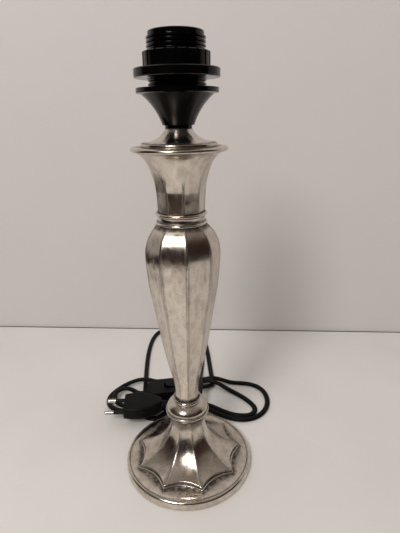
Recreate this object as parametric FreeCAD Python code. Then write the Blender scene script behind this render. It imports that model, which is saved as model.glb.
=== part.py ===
import FreeCAD, Part
import math
import os

# Candlestick table lamp with a screw lampholder, an in-line switch and a mains plug.
# Millimetres. +Z is up, +X is to the lamp's right, -Y is its front.
# The origin is the middle of the face that the lamp stands on.

# ---------------------------------------------------------------- driving dimensions
fit_gap = 0.15              # between pieces that slide over each other when the lamp is put together
rest_gap = 0.3              # between loose pieces that lie on each other

panel_count = 9             # facets round the base, the stem and the cup
base_turn = 12.5            # degrees from the front to the first ridge of the base
stem_turn = 6.0             # the same for the stem and the cup

# base
base_r = 56.0
rim_band = 2.0              # upright band at the foot of the rim
rim_height = 7.4
rim_top_r = 53.4
rim_wall = 3.0
top_wall = 1.6
groove_width = 0.9
groove_depth = 0.35
plate_rise = 0.5            # the plate climbs this much from its groove to the star
star_tip_r = 45.5
star_tip_z = 11.2
star_scallop = 4.6          # depth of the scallops between the tips
star_step = 1.5             # lower moulding stands out this far
star_step_height = 1.5
panel_hollow = 0.045        # sag of a base panel, as a share of its ridge radius
neck_r = 13.9
neck_z = 50.0
neck_plate = 2.4
shell_wall = 2.4
felt_thick = 0.6
cover_thick = 0.6
foot_gap = 0.3              # the metal rim ends this far above the felt's face

# weight inside the base
weight_top = 9.4
weight_hub_r = 36.0
weight_bore_r = 12.0

# central rod and what clamps the stack
rod_r = 5.0
rod_wall = 1.0
rod_below = 10.0            # rod below the neck plate
nut_height = 3.2
nut_flats = 14.0
washer_thick = 1.6
washer_r = 9.6

# knop, ring and stem
knop_height = 15.3
knop_r = 18.7
knop_foot_r = 14.6
knop_band = 2.6
knop_top_r = 11.6
ring_height = 3.4
ring_r = 12.3
stem_height = 153.4
stem_wall = 2.0
collar_height = 9.0
collar_r = 19.0
collar_bead = 2.2
collar_hollow = 0.7

# cup and cap
cup_height = 46.0
cup_floor = 3.0
cup_wall = 2.2
cup_rim_r = 34.2
cup_rim_thick = 3.2
cup_mouth_r = 24.0
cap_r = 26.8
cap_band = 2.4
cap_height = 12.0
cap_top_r = 9.0
cap_wall = 1.8

# lampholder
holder_neck_r = 9.4
holder_neck_height = 2.0
holder_foot_r = 11.0
holder_cone_height = 20.3   # from the neck to the underside of the flange
holder_flange_r = 27.9
holder_flange_thick = 3.1
holder_boss_height = 8.6
holder_wall = 2.3
barrel_height = 33.6
barrel_crest_r = 19.5
barrel_root_r = 18.35
barrel_bore_r = 16.6
barrel_pitch = 2.5
barrel_plain = 1.2
barrel_spigot = 7.0
barrel_spigot_r = 17.8
core_height = 9.0
shell_bore_r = 13.3
shell_metal = 0.6
shell_height = 26.0
shell_seat = 2.0            # the shell stands this deep in the core
shell_foot_r = 12.6         # bore of its thicker foot, below the thread
shell_foot = 3.9            # height of the foot above the core
contact_r = 4.2
tab_size = 2.0
terminal_x = 8.0
terminal_size = 7.0
terminal_height = 4.8
terminal_screw_r = 1.5
terminal_screw_y = 1.2
terminal_head = 1.4
terminal_wire_y = 2.3
wire_depth = 3.0
shade_gap = 6.2             # from the holder's flange to the shade ring
shade_flange_r = 28.8
shade_flange_thick = 5.7
shade_grip_r = 22.4
shade_grip_height = 9.8
seat_relief_r = 19.6         # a groove round the barrel's foot, so that the seat is flat to its edge
seat_relief_width = 0.6
seat_relief_depth = 0.4
shade_clearance = 0.3       # from the barrel's crests to the ring's bore
shade_rib_count = 20
shade_rib_r = 1.1

# flat two-core cord: its real section, and the round tube of like area that stands for it
cord_width = 5.4
cord_thick = 3.4
tube_r = 2.2
core_r = 1.0

# gland, at the back
gland_turn = -4.0           # degrees from the back towards the left
gland_z = 2.95
gland_width = 8.0
gland_height = 4.4
gland_lip = 1.5
gland_length = 4.5
anchor_from = 26.5
anchor_length = 9.0
anchor_width = 10.0

# in-line switch
switch_x = -15.5
switch_y = 93.0
switch_turn = 6.0
switch_floor = 0.0          # it lies on the table, inside the hank
switch_length = 55.9
switch_width = 26.0
switch_height = 14.0
switch_wall = 1.8
switch_screw_x = 18.5
switch_screw_y = 7.0
switch_screw_r = 1.2
switch_head_r = 2.2
switch_post_r = 2.4
switch_terminal_x = 15.0
switch_terminal_y = 6.5
switch_tail_inside = 12.0
rocker_length = 17.0
rocker_width = 8.0
rocker_rise = 3.2           # above the case
rocker_gap = 0.4
rocker_throw = 18.0         # degrees from off to on
rocker_axis_depth = 2.4     # below the case's top
rocker_pin_r = 1.0
rocker_pin_play = 0.05

# plug
plug_face_x = -64.5
plug_y = 57.0
plug_floor = 9.5            # it lies on the hank
plug_length = 38.0
plug_face_width = 25.0
plug_width = 29.0
plug_thick = 13.0
plug_rounding = 2.4
plug_tail_width = 9.0
plug_tail_length = 20.0
plug_tail_ribs = 5
pin_r = 2.0
pin_length = 19.0
pin_spacing = 18.6
sleeve_r = 1.9
sleeve_length = 10.0
pin_inside = 12.0

# levels that follow from the sizes above
base_z = foot_gap
ceiling_z = rim_height - top_wall
knop_z = neck_z
ring_z = knop_z + knop_height
stem_z = ring_z + ring_height
collar_z = stem_z + stem_height
cup_z = collar_z + collar_height
cap_z = cup_z + cup_height
holder_z = cap_z + cap_height
cone_z = holder_z + holder_neck_height
flange_z = cone_z + holder_cone_height
barrel_z = flange_z + holder_flange_thick
barrel_top = barrel_z + barrel_height
shade_z = barrel_z + shade_gap
rod_bottom = neck_z - neck_plate - rod_below
rod_top = holder_z + holder_boss_height - 1.0
lead_top = rod_top + 2.0
core_z = barrel_z - barrel_spigot
seat_z = core_z + core_height
hole_r = rod_r + fit_gap
bore_r = rod_r - rod_wall

Z = FreeCAD.Vector(0, 0, 1)
ORIGIN = FreeCAD.Vector(0, 0, 0)
out_dir = "parts"
os.makedirs(out_dir, exist_ok=True)


# ---------------------------------------------------------------- helpers
def vec(x, y, z=0.0):
    return FreeCAD.Vector(x, y, z)


def save(name, shape):
    """Write one named piece, and say what it is made of."""
    shape = shape.removeSplitter() if shape.ShapeType != "Compound" else shape
    solids = len(shape.Solids)
    print(f"{name}: {solids} solid(s), {shape.Volume / 1000:.2f} cm3, valid {shape.isValid()}")
    shape.exportStep(os.path.join(out_dir, name + ".step"))


def outline(items):
    """A closed wire in the XZ plane: (r, z) draws a line to a point, (mid, end) an arc through mid."""
    start = vec(items[0][0], 0, items[0][1])
    here = start
    edges = []
    for item in items[1:]:
        if isinstance(item[0], tuple):
            middle = vec(item[0][0], 0, item[0][1])
            end = vec(item[1][0], 0, item[1][1])
            edges.append(Part.Arc(here, middle, end).toShape())
        else:
            end = vec(item[0], 0, item[1])
            edges.append(Part.LineSegment(here, end).toShape())
        here = end
    edges.append(Part.LineSegment(here, start).toShape())
    return Part.Wire(edges)


def turned(items):
    """A turned piece from half of its section."""
    return Part.Face(outline(items)).revolve(ORIGIN, Z, 360)


def disc(r, z, height):
    return Part.makeCylinder(r, height, vec(0, 0, z))


def ring(outer, inner, z, height):
    return disc(outer, z, height).cut(disc(inner, z, height))


def block(x, y, z, low=(0, 0, 0)):
    """A block centred on X and Y that stands on low."""
    return Part.makeBox(x, y, z, vec(low[0] - x / 2, low[1] - y / 2, low[2]))


def on_ray(r, degrees, z):
    """A point at radius r, turned from the front (-Y) towards the right."""
    a = math.radians(degrees)
    return vec(r * math.sin(a), -r * math.cos(a), z)


def facet_wire(r, z, turn, bulge):
    """A ring of arcs between the ridges. bulge is the arc's rise over its chord: below 0 it is hollow."""
    step = 360.0 / panel_count
    edges = []
    for k in range(panel_count):
        a = on_ray(r, turn + k * step, z)
        b = on_ray(r, turn + (k + 1) * step, z)
        chord = r * math.cos(math.radians(step / 2))
        middle = on_ray(chord + bulge, turn + (k + 0.5) * step, z)
        side = Part.LineSegment(a, b) if bulge == 0 else Part.Arc(a, middle, b)
        edges.append(side.toShape())
    return Part.Wire(edges)


def facet_loft(levels, turn):
    """A loft through facet rings, each given as (z, ridge radius, bulge)."""
    wires = [facet_wire(r, z, turn, bulge) for z, r, bulge in levels]
    return Part.makeLoft(wires, True, False)


def round_bulge(r):
    """The bulge that makes a facet ring a true circle."""
    return r * (1 - math.cos(math.pi / panel_count))


def hexagon_nut(z, height, hole):
    corner = nut_flats / 2 / math.cos(math.pi / 6)
    points = [vec(corner * math.cos(k * math.pi / 3), corner * math.sin(k * math.pi / 3), z) for k in range(7)]
    nut = Part.Face(Part.makePolygon(points)).extrude(vec(0, 0, height))
    return nut.cut(disc(hole, z, height))


def stadium(width, thick, centre, along, up):
    """A flat cord's section: a wire with its width along one direction and its thickness along up."""
    straight = (width - thick) / 2
    half = thick / 2
    side = along * straight
    rise = up * half
    left = Part.Arc(centre - side + rise, centre - side - along * half, centre - side - rise).toShape()
    right = Part.Arc(centre + side - rise, centre + side + along * half, centre + side + rise).toShape()
    low = Part.LineSegment(centre - side - rise, centre + side - rise).toShape()
    high = Part.LineSegment(centre + side + rise, centre - side + rise).toShape()
    return Part.Wire([left, low, right, high])


def bent_path(points, share=0.45):
    """Straight runs joined by tangent arcs, each as large as its two runs allow, and the arcs' radii."""
    edges = []
    radii = []
    here = points[0]
    for k in range(1, len(points) - 1):
        before = points[k] - points[k - 1]
        after = points[k + 1] - points[k]
        reach = share * min(before.Length, after.Length)
        half_turn = before.getAngle(after) / 2
        radii.append(reach / math.tan(half_turn))
        before.normalize()
        after.normalize()
        start = points[k] - before * reach
        end = points[k] + after * reach
        inward = (after - before).normalize()
        sagitta = reach * math.tan(half_turn) - radii[-1] * (1 / math.cos(half_turn) - 1)
        middle = (start + end) * 0.5 - inward * (radii[-1] * (1 - math.cos(half_turn)))
        edges.append(Part.LineSegment(here, start).toShape())
        edges.append(Part.Arc(start, middle, end).toShape())
        here = end
    edges.append(Part.LineSegment(here, points[-1]).toShape())
    return Part.Wire(edges), radii


def tube_along(path, radius):
    """A round tube along a wire."""
    start = path.OrderedEdges[0]
    tangent = start.tangentAt(start.FirstParameter)
    section = Part.Wire(Part.makeCircle(radius, path.OrderedVertexes[0].Point, tangent))
    return path.makePipeShell([section], True, False)


def cord_tube(name, route):
    """One stretch of cord: prints its length, its bends and how true its volume is; returns its path."""
    path, radii = bent_path([vec(*point) for point in route])
    tube = tube_along(path, tube_r)
    true_volume = math.pi * tube_r ** 2 * path.Length
    print(f"{name}: length {path.Length:.0f}, radii {min(radii):.1f} to {max(radii):.1f},",
          f"volume ratio {tube.Volume / true_volume:.4f}")
    save(name, tube)
    return path


# ---------------------------------------------------------------- base
def star_levels(shrink):
    """The base's panels flare down like a trumpet: (height, ridge radius, bulge) from the tips to the neck."""
    shape = ((-0.16, 1.22), (0.0, 1.0), (0.09, 0.832), (0.2, 0.667), (0.34, 0.53), (0.52, 0.418), (0.74, 0.343))
    rise = neck_z - star_tip_z
    levels = []
    for up, out in shape:
        r = star_tip_r * out - shrink
        levels.append((star_tip_z + up * rise - shrink, r, -panel_hollow * r))
    top_r = neck_r + 0.4 - shrink
    levels.append((neck_z if shrink == 0 else neck_z - neck_plate, top_r, -panel_hollow * top_r))
    return levels


def star_prism(extra, z, height):
    """The scalloped outline of the star, standing out by extra."""
    tip = star_tip_r + extra
    return Part.Face(facet_wire(tip, z, base_turn, -star_scallop)).extrude(vec(0, 0, height))


def gland_frame():
    """The point where the cord leaves the base, and the directions outwards and along the rim."""
    a = math.radians(gland_turn)
    outwards = vec(-math.sin(a), math.cos(a))
    return outwards * (base_r + gland_lip), outwards, Z.cross(outwards)


def gland_tool(width, height, length, z):
    """A rounded bar through the rim along the gland, as long as length, measured in from its lip."""
    mouth, outwards, across = gland_frame()
    face = Part.Face(stadium(width, height, mouth + vec(0, 0, z), across, Z))
    return face.extrude(outwards * -length)


def base_casting():
    plate = turned([
        (0, base_z), (base_r - 0.5, base_z), (base_r, base_z + 0.5), (base_r, base_z + rim_band),
        ((base_r - 0.7, rim_height - 2.0), (rim_top_r, rim_height)),
        (rim_top_r - groove_width / 2, rim_height - groove_depth), (rim_top_r - groove_width, rim_height),
        (star_tip_r - star_scallop, rim_height + plate_rise), (0, rim_height + plate_rise)])
    foot = rim_height - 0.5
    panels = facet_loft(star_levels(0), base_turn)
    star = panels.common(star_prism(0, foot, neck_z - foot))
    step = star_prism(star_step, foot, star_step_height + 0.5 + plate_rise)
    shell = plate.fuse(star).fuse(step)
    inner_rim = base_r - rim_wall
    shell = shell.cut(disc(inner_rim, 0, ceiling_z))
    hollow = facet_loft(star_levels(shell_wall), base_turn)
    inner_star_r = star_tip_r - star_scallop - shell_wall - 1.5
    limit = disc(inner_star_r, ceiling_z - 1, neck_z - neck_plate - ceiling_z + 1)
    shell = shell.cut(hollow.common(limit))
    shell = shell.cut(disc(hole_r, neck_z - neck_plate - 1, neck_plate + 2))
    notch = gland_tool(gland_width + 2 * fit_gap, gland_height + 2 * fit_gap, rim_wall + gland_lip + 4, gland_z)
    return shell.cut(notch)


def base_weight():
    disc_r = base_r - rim_wall - 0.6
    low = felt_thick + cover_thick
    body = disc(disc_r, low, ceiling_z - low).fuse(disc(weight_hub_r, low, weight_top - low))
    body = body.cut(disc(weight_bore_r, low - 1, weight_top))
    slot = gland_tool(cord_width + 1.2, cord_thick + 0.8, base_r + gland_lip, gland_z)
    mouth = gland_tool(gland_width + 2 * fit_gap, gland_height + 2 * fit_gap, gland_length + 1.5, gland_z)
    pocket = radial_block(anchor_from - fit_gap, anchor_length + 2 * fit_gap, anchor_width + 2 * fit_gap,
                          low - 1, weight_top + 1)
    bend_room = radial_block(0, anchor_from, cord_width + 1.2, low - 1, weight_top + 1)
    return body.cut(slot).cut(mouth).cut(pocket).cut(bend_room)


def radial_block(start, length, width, low, high):
    """A block along the gland's direction that begins at the radius start."""
    _, outwards, across = gland_frame()
    corners = [(start, -1), (start + length, -1), (start + length, 1), (start, 1), (start, -1)]
    foot = [outwards * u + across * (v * width / 2) + vec(0, 0, low) for u, v in corners]
    return Part.Face(Part.makePolygon(foot)).extrude(vec(0, 0, high - low))


def cord_anchor():
    """A clamp in the weight that holds the lead against a pull."""
    solid = radial_block(anchor_from, anchor_length, anchor_width, felt_thick + cover_thick, weight_top)
    return solid.cut(gland_tool(cord_width + 0.1, cord_thick + 0.1, base_r + gland_lip, gland_z))


def base_cover():
    return disc(base_r - rim_wall - 0.3, felt_thick, cover_thick)


def felt_pad():
    return disc(base_r - rim_wall - 0.5, 0, felt_thick)


def cord_gland():
    """A flanged bush in the rim, with the cord's own section through it."""
    mouth, outwards, across = gland_frame()
    body = gland_tool(gland_width, gland_height, gland_length, gland_z)
    flange = gland_tool(gland_width + 1.8, gland_height + 1.0, gland_lip - 0.2, gland_z)
    rim = disc(base_r + 0.1, base_z - 1, rim_height)
    bush = body.fuse(flange.cut(rim))
    return bush.cut(gland_tool(cord_width, cord_thick, gland_length, gland_z))


def inner_lead():
    """The lead from the gland, through the anchor and up the rod to the lampholder."""
    mouth, outwards, across = gland_frame()
    start = mouth + vec(0, 0, gland_z)
    heel = outwards * (weight_bore_r + 2.0) + vec(0, 0, gland_z)
    throat = vec(0, 0, rod_bottom - 6.0)
    top = vec(0, 0, lead_top)
    path, radii = bent_path([start, heel, throat, top], 0.35)
    section = stadium(cord_width, cord_thick, start, across, Z)
    print(f"inner_lead: radii {min(radii):.1f} to {max(radii):.1f}")
    return path.makePipeShell([section], True, False)


def base_pieces():
    save("base_casting", base_casting())
    save("base_weight", base_weight())
    save("base_cover", base_cover())
    save("felt_pad", felt_pad())
    save("cord_anchor", cord_anchor())
    save("cord_gland", cord_gland())
    save("inner_lead", inner_lead())


# ---------------------------------------------------------------- rod and stem
def rod_pieces():
    plate_z = neck_z - neck_plate
    save("threaded_rod", ring(rod_r, bore_r, rod_bottom, rod_top - rod_bottom))
    save("bottom_washer", ring(washer_r, hole_r, plate_z - washer_thick, washer_thick))
    save("bottom_nut", hexagon_nut(plate_z - washer_thick - nut_height, nut_height, rod_r))


def knop():
    """A flattened ball over a plain band that hangs over the base's neck."""
    band_z = knop_z + knop_height * 0.46
    body = turned([
        (hole_r, knop_z), (knop_foot_r, knop_z),
        ((knop_foot_r + 0.6, knop_z + 2.2), (knop_r - 1.6, band_z - knop_band)),
        ((knop_r, band_z - knop_band * 0.55), (knop_r, band_z)),
        (knop_r - 0.35, band_z + 0.35),
        ((knop_r * 0.87, knop_z + knop_height * 0.83), (knop_top_r, knop_z + knop_height)),
        (hole_r, knop_z + knop_height)])
    return body


def neck_ring():
    half = ring_height / 2
    return turned([
        (hole_r, ring_z), (ring_r - half, ring_z), ((ring_r, ring_z + half), (ring_r - half, stem_z)),
        (hole_r, stem_z)])


def stem_levels(shrink):
    """The baluster's ridge radii, from its foot on the ring to its shoulder under the collar."""
    shape = ((0.0, 10.6), (0.025, 10.1), (0.16, 12.7), (0.32, 18.1), (0.475, 21.9), (0.6, 25.1), (0.68, 27.1),
             (0.745, 28.1), (0.81, 28.8), (0.86, 29.0), (0.9, 28.2), (0.937, 26.3), (0.97, 23.2), (1.0, 18.8))
    levels = []
    for up, r in shape:
        z = stem_z + up * stem_height
        levels.append((z, r - shrink, 0.0))
    return levels


def stem_casting():
    solid = facet_loft(stem_levels(0), stem_turn)
    hollow = facet_loft(stem_levels(stem_wall), stem_turn)
    inside = disc(2 * base_r, stem_z + 2 * stem_wall, stem_height - 4 * stem_wall)
    shell = solid.cut(hollow.common(inside))
    return shell.cut(disc(hole_r, stem_z - 1, stem_height + 2))


def collar_ring():
    bead = collar_bead / 2
    top = collar_z + collar_height
    waist = collar_r - collar_hollow - 0.5
    return turned([
        (hole_r, collar_z), (collar_r - bead, collar_z),
        ((collar_r, collar_z + bead), (collar_r - bead * 0.8, collar_z + 2 * bead)),
        ((waist, collar_z + collar_height / 2), (collar_r - bead * 0.8, top - 2 * bead)),
        ((collar_r, top - bead), (collar_r - bead, top)), (hole_r, top)])


def trumpet_cup():
    """Facets below, which fade into a round trumpet under the rolled rim."""
    facets = ((0.0, 17.5, 0.02), (0.15, 17.7, 0.02), (0.33, 18.2, 0.02), (0.48, 19.2, 0.08), (0.61, 20.7, 0.4),
              (0.72, 22.6, 0.8), (0.81, 24.9, 1.0), (0.87, 27.4, 1.0))
    levels = [(cup_z + up * cup_height, r, round_bulge(r) * share) for up, r, share in facets]
    body = facet_loft(levels, stem_turn)
    joint_z = levels[-1][0]
    joint_r = levels[-1][1]
    roll = cup_rim_thick / 2
    rim = turned([
        (0, joint_z), (joint_r, joint_z),
        ((joint_r + 2.0, cap_z - cup_rim_thick - 0.7), (cup_rim_r - roll, cap_z - cup_rim_thick)),
        ((cup_rim_r, cap_z - roll), (cup_rim_r - roll, cap_z)), (0, cap_z)])
    cup = body.fuse(rim)
    inner = facets[0][1] - cup_wall - 1.0
    bowl = turned([
        (0, cup_z + cup_floor), (inner, cup_z + cup_floor), (inner + 0.6, cup_z + 0.45 * cup_height),
        ((inner + 3.0, cup_z + 0.75 * cup_height), (cup_mouth_r, cap_z)),
        (cup_mouth_r, cap_z + 1), (0, cap_z + 1)])
    return cup.cut(bowl).cut(disc(hole_r, cup_z - 1, cup_floor + 2))


def dome_cap():
    """A stepped cap over the cup's mouth, flaring up to the lampholder."""
    edge = 0.5
    step_r = cap_r - 1.4
    band_top = cap_z + cap_band
    top = cap_z + cap_height
    outer = turned([
        (0, cap_z), (cap_r - edge, cap_z), (cap_r, cap_z + edge), (cap_r, band_top - edge),
        (cap_r - edge, band_top), (step_r, band_top + 0.1),
        ((13.6, cap_z + 0.52 * cap_height), (cap_top_r + 0.6, top - 1.0)), (cap_top_r, top), (0, top)])
    inside = turned([
        (0, cap_z - 1), (cup_mouth_r - 1, cap_z - 1), (cup_mouth_r - 1, cap_z + 0.6),
        ((12.4, cap_z + 0.52 * cap_height - cap_wall), (rod_r + 1.4, top - 2 * cap_wall)), (0, top - 2 * cap_wall)])
    return outer.cut(inside).cut(disc(hole_r, cap_z - 1, cap_height + 2))


def stem_pieces():
    save("knop", knop())
    save("neck_ring", neck_ring())
    save("stem_casting", stem_casting())
    save("collar_ring", collar_ring())
    save("trumpet_cup", trumpet_cup())
    save("dome_cap", dome_cap())


# ---------------------------------------------------------------- lampholder
def holder_cone():
    """The holder's lower half: a neck, a flaring cone and a broad flange, screwed on the rod."""
    mid_z = cone_z + 0.58 * holder_cone_height
    outer = turned([
        (0, holder_z), (holder_neck_r, holder_z), (holder_neck_r, cone_z), (holder_foot_r, cone_z),
        ((holder_foot_r + 4.6, mid_z - 2.2), (holder_flange_r - 3.2, flange_z - 0.6)),
        (holder_flange_r, flange_z), (holder_flange_r, barrel_z), (0, barrel_z)])
    boss_top = holder_z + holder_boss_height
    socket_z = barrel_z - barrel_spigot
    inside = turned([
        (0, boss_top), (holder_foot_r - 2.4, boss_top), (barrel_spigot_r - 3.4, socket_z),
        (barrel_spigot_r + fit_gap, socket_z), (barrel_spigot_r + fit_gap, barrel_z + 1), (0, barrel_z + 1)])
    relief = ring(seat_relief_r + seat_relief_width, seat_relief_r, barrel_z - seat_relief_depth, 1.0)
    return outer.cut(inside).cut(relief).cut(disc(rod_r, holder_z - 1, holder_boss_height + 2))


def holder_barrel():
    """The threaded barrel; its thread is drawn as rings of the real pitch and depth."""
    low = barrel_z - barrel_spigot
    first = barrel_z + barrel_plain
    crest = barrel_pitch * 0.36
    flank = barrel_pitch * 0.2
    items = [(barrel_bore_r, low), (barrel_spigot_r, low), (barrel_spigot_r, barrel_z), (barrel_root_r, barrel_z)]
    turns = int((barrel_height - 2 * barrel_plain) / barrel_pitch)
    for k in range(turns):
        z = first + k * barrel_pitch
        items.append((barrel_root_r, z))
        items.append((barrel_crest_r, z + flank))
        items.append((barrel_crest_r, z + flank + crest))
        items.append((barrel_root_r, z + 2 * flank + crest))
    items += [(barrel_root_r, barrel_top - 0.5), (barrel_root_r - 0.5, barrel_top), (barrel_bore_r, barrel_top)]
    return turned(items)


def holder_core():
    """The insulating core in the barrel, with a seat for the screw shell and pockets for the terminals."""
    body = disc(barrel_bore_r - fit_gap, core_z, core_height)
    body = body.cut(ring(shell_bore_r + shell_metal, shell_foot_r, seat_z - shell_seat, shell_seat + 1.0))
    for side in (-1, 1):
        pocket = block(terminal_size + 0.4, terminal_size + 0.4, terminal_height + 1.2, (side * terminal_x, 0, core_z - 1))
        body = body.cut(pocket)
    return body


def lamp_contacts():
    """The screw shell, the contact under the bulb, the shell's tab and the two terminals."""
    shell = ring(shell_bore_r + shell_metal, shell_foot_r, seat_z - shell_seat, shell_seat + shell_foot)
    wall_height = shell_height - shell_seat - shell_foot
    shell = shell.fuse(ring(shell_bore_r + shell_metal, shell_bore_r, seat_z + shell_foot, wall_height))
    save("screw_shell", shell)
    button = turned([
        (0, seat_z), (contact_r, seat_z), (contact_r, seat_z + 0.5), (contact_r - 2.6, seat_z + 0.9),
        (contact_r - 3.0, seat_z + 2.4), (contact_r - 3.6, seat_z + 3.0), (0, seat_z + 3.0)])
    save("centre_contact", button)
    tab_x = shell_foot_r - fit_gap - tab_size / 2
    save("side_contact", block(tab_size, 2 * tab_size, 1.7 * tab_size, (tab_x, 0, seat_z)))
    terminals = []
    screws = []
    for side in (-1, 1):
        x = side * terminal_x
        cube = block(terminal_size, terminal_size, terminal_height, (x, 0, core_z))
        screw_foot = vec(x, terminal_screw_y, core_z - 0.2)
        wire_foot = vec(x, -terminal_wire_y, core_z - 1)
        shank = Part.makeCylinder(terminal_screw_r, terminal_height - 0.3, screw_foot)
        terminals.append(cube.cut(shank).cut(Part.makeCylinder(core_r, 1 + wire_depth, wire_foot)))
        head_foot = vec(x, terminal_screw_y, core_z - terminal_head)
        head = Part.makeCylinder(terminal_screw_r + 0.7, terminal_head, head_foot)
        slot = block(2 * terminal_size, 0.7, 0.7, (x, terminal_screw_y, core_z - terminal_head - 0.1))
        screws.append(head.cut(slot).fuse(shank))
    save("terminal_blocks", Part.makeCompound(terminals))
    save("terminal_screws", Part.makeCompound(screws))


def core_wires():
    """The lead's two cores, from the top of the rod to the terminals."""
    for name, side in (("live_wire", -1), ("neutral_wire", 1)):
        near = side * core_r
        far = side * terminal_x
        route = [vec(near, 0, lead_top), vec(near, 0, lead_top + 2.5), vec(far, -terminal_wire_y, core_z - 2.9),
                 vec(far, -terminal_wire_y, core_z + wire_depth - 0.2)]
        path, _ = bent_path(route, 0.3)
        section = Part.Wire(Part.makeCircle(core_r * 0.9, route[0], Z))
        save(name, path.makePipeShell([section], True, False))


def shade_ring():
    """The ring that clamps a shade: a flange below and a ribbed grip above, bored clear of the thread."""
    bore = barrel_crest_r + shade_clearance
    grip_z = shade_z + shade_flange_thick
    top = grip_z + shade_grip_height
    body = turned([
        (bore, shade_z), (shade_flange_r - 0.6, shade_z), (shade_flange_r, shade_z + 0.6),
        (shade_flange_r, grip_z - 0.6), (shade_flange_r - 0.6, grip_z), (shade_grip_r, grip_z),
        (shade_grip_r, top - 0.5), (shade_grip_r - 0.5, top), (bore, top)])
    for k in range(shade_rib_count):
        centre = on_ray(shade_grip_r + 0.45, k * 360.0 / shade_rib_count, grip_z + 0.8)
        body = body.cut(Part.makeCylinder(shade_rib_r, shade_grip_height, centre))
    return body


def holder_pieces():
    save("holder_cone", holder_cone())
    save("holder_barrel", holder_barrel())
    save("holder_core", holder_core())
    lamp_contacts()
    core_wires()
    save("shade_ring", shade_ring())


# ---------------------------------------------------------------- switch
def in_switch(shape):
    """From the switch's own frame (X along the cord, Z up from its underside) to its place."""
    placed = shape.copy()
    placed.rotate(ORIGIN, Z, switch_turn)
    placed.translate(vec(switch_x, switch_y, switch_floor))
    return placed


def switch_plan(shrink):
    """The case seen from above: parallel sides and rounded, narrowing ends."""
    half = switch_length / 2 - shrink
    wide = switch_width / 2 - shrink
    end = wide * 0.5
    waist = half * 0.55
    points = [vec(waist, -wide), vec(half, -end), vec(half, end), vec(waist, wide),
              vec(-waist, wide), vec(-half, end), vec(-half, -end), vec(-waist, -wide)]
    arc_right_low = Part.Arc(points[0], vec(half * 0.86, -wide * 0.86), points[1]).toShape()
    side_right = Part.LineSegment(points[1], points[2]).toShape()
    arc_right_high = Part.Arc(points[2], vec(half * 0.86, wide * 0.86), points[3]).toShape()
    back = Part.LineSegment(points[3], points[4]).toShape()
    arc_left_high = Part.Arc(points[4], vec(-half * 0.86, wide * 0.86), points[5]).toShape()
    side_left = Part.LineSegment(points[5], points[6]).toShape()
    arc_left_low = Part.Arc(points[6], vec(-half * 0.86, -wide * 0.86), points[7]).toShape()
    front = Part.LineSegment(points[7], points[0]).toShape()
    return Part.Wire([arc_right_low, side_right, arc_right_high, back, arc_left_high, side_left, arc_left_low, front])


def switch_half(z, height, floor_z):
    """One half of the case: the plan's outline, hollow inside, with a wall at floor_z."""
    outer = Part.Face(switch_plan(0)).extrude(vec(0, 0, height))
    outer.translate(vec(0, 0, z))
    inner = Part.Face(switch_plan(switch_wall)).extrude(vec(0, 0, height))
    inner.translate(vec(0, 0, floor_z))
    return outer.cut(inner)


def rocker_axis_z():
    return switch_height - rocker_axis_depth


def rocker():
    """The rocker with a raised rib at each end, tipped to its off position."""
    half = rocker_length / 2
    axis = rocker_axis_z()
    top = switch_height + rocker_rise
    drop = axis - 3.4
    wire = Part.Wire([
        Part.LineSegment(vec(-half, 0, axis), vec(-half, 0, top - 0.6)).toShape(),
        Part.Arc(vec(-half, 0, top - 0.6), vec(0, 0, top - 2.0), vec(half, 0, top - 0.6)).toShape(),
        Part.LineSegment(vec(half, 0, top - 0.6), vec(half, 0, axis)).toShape(),
        Part.Arc(vec(half, 0, axis), vec(0, 0, drop), vec(-half, 0, axis)).toShape()])
    body = Part.Face(wire).extrude(vec(0, rocker_width, 0))
    body.translate(vec(0, -rocker_width / 2, 0))
    hole = rocker_pin_r + rocker_pin_play
    body = body.cut(Part.makeCylinder(hole, rocker_width + 2, vec(0, -rocker_width / 2 - 1, axis), vec(0, 1, 0)))
    body.rotate(vec(0, 0, axis), vec(0, 1, 0), rocker_throw / 2)
    return body


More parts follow.
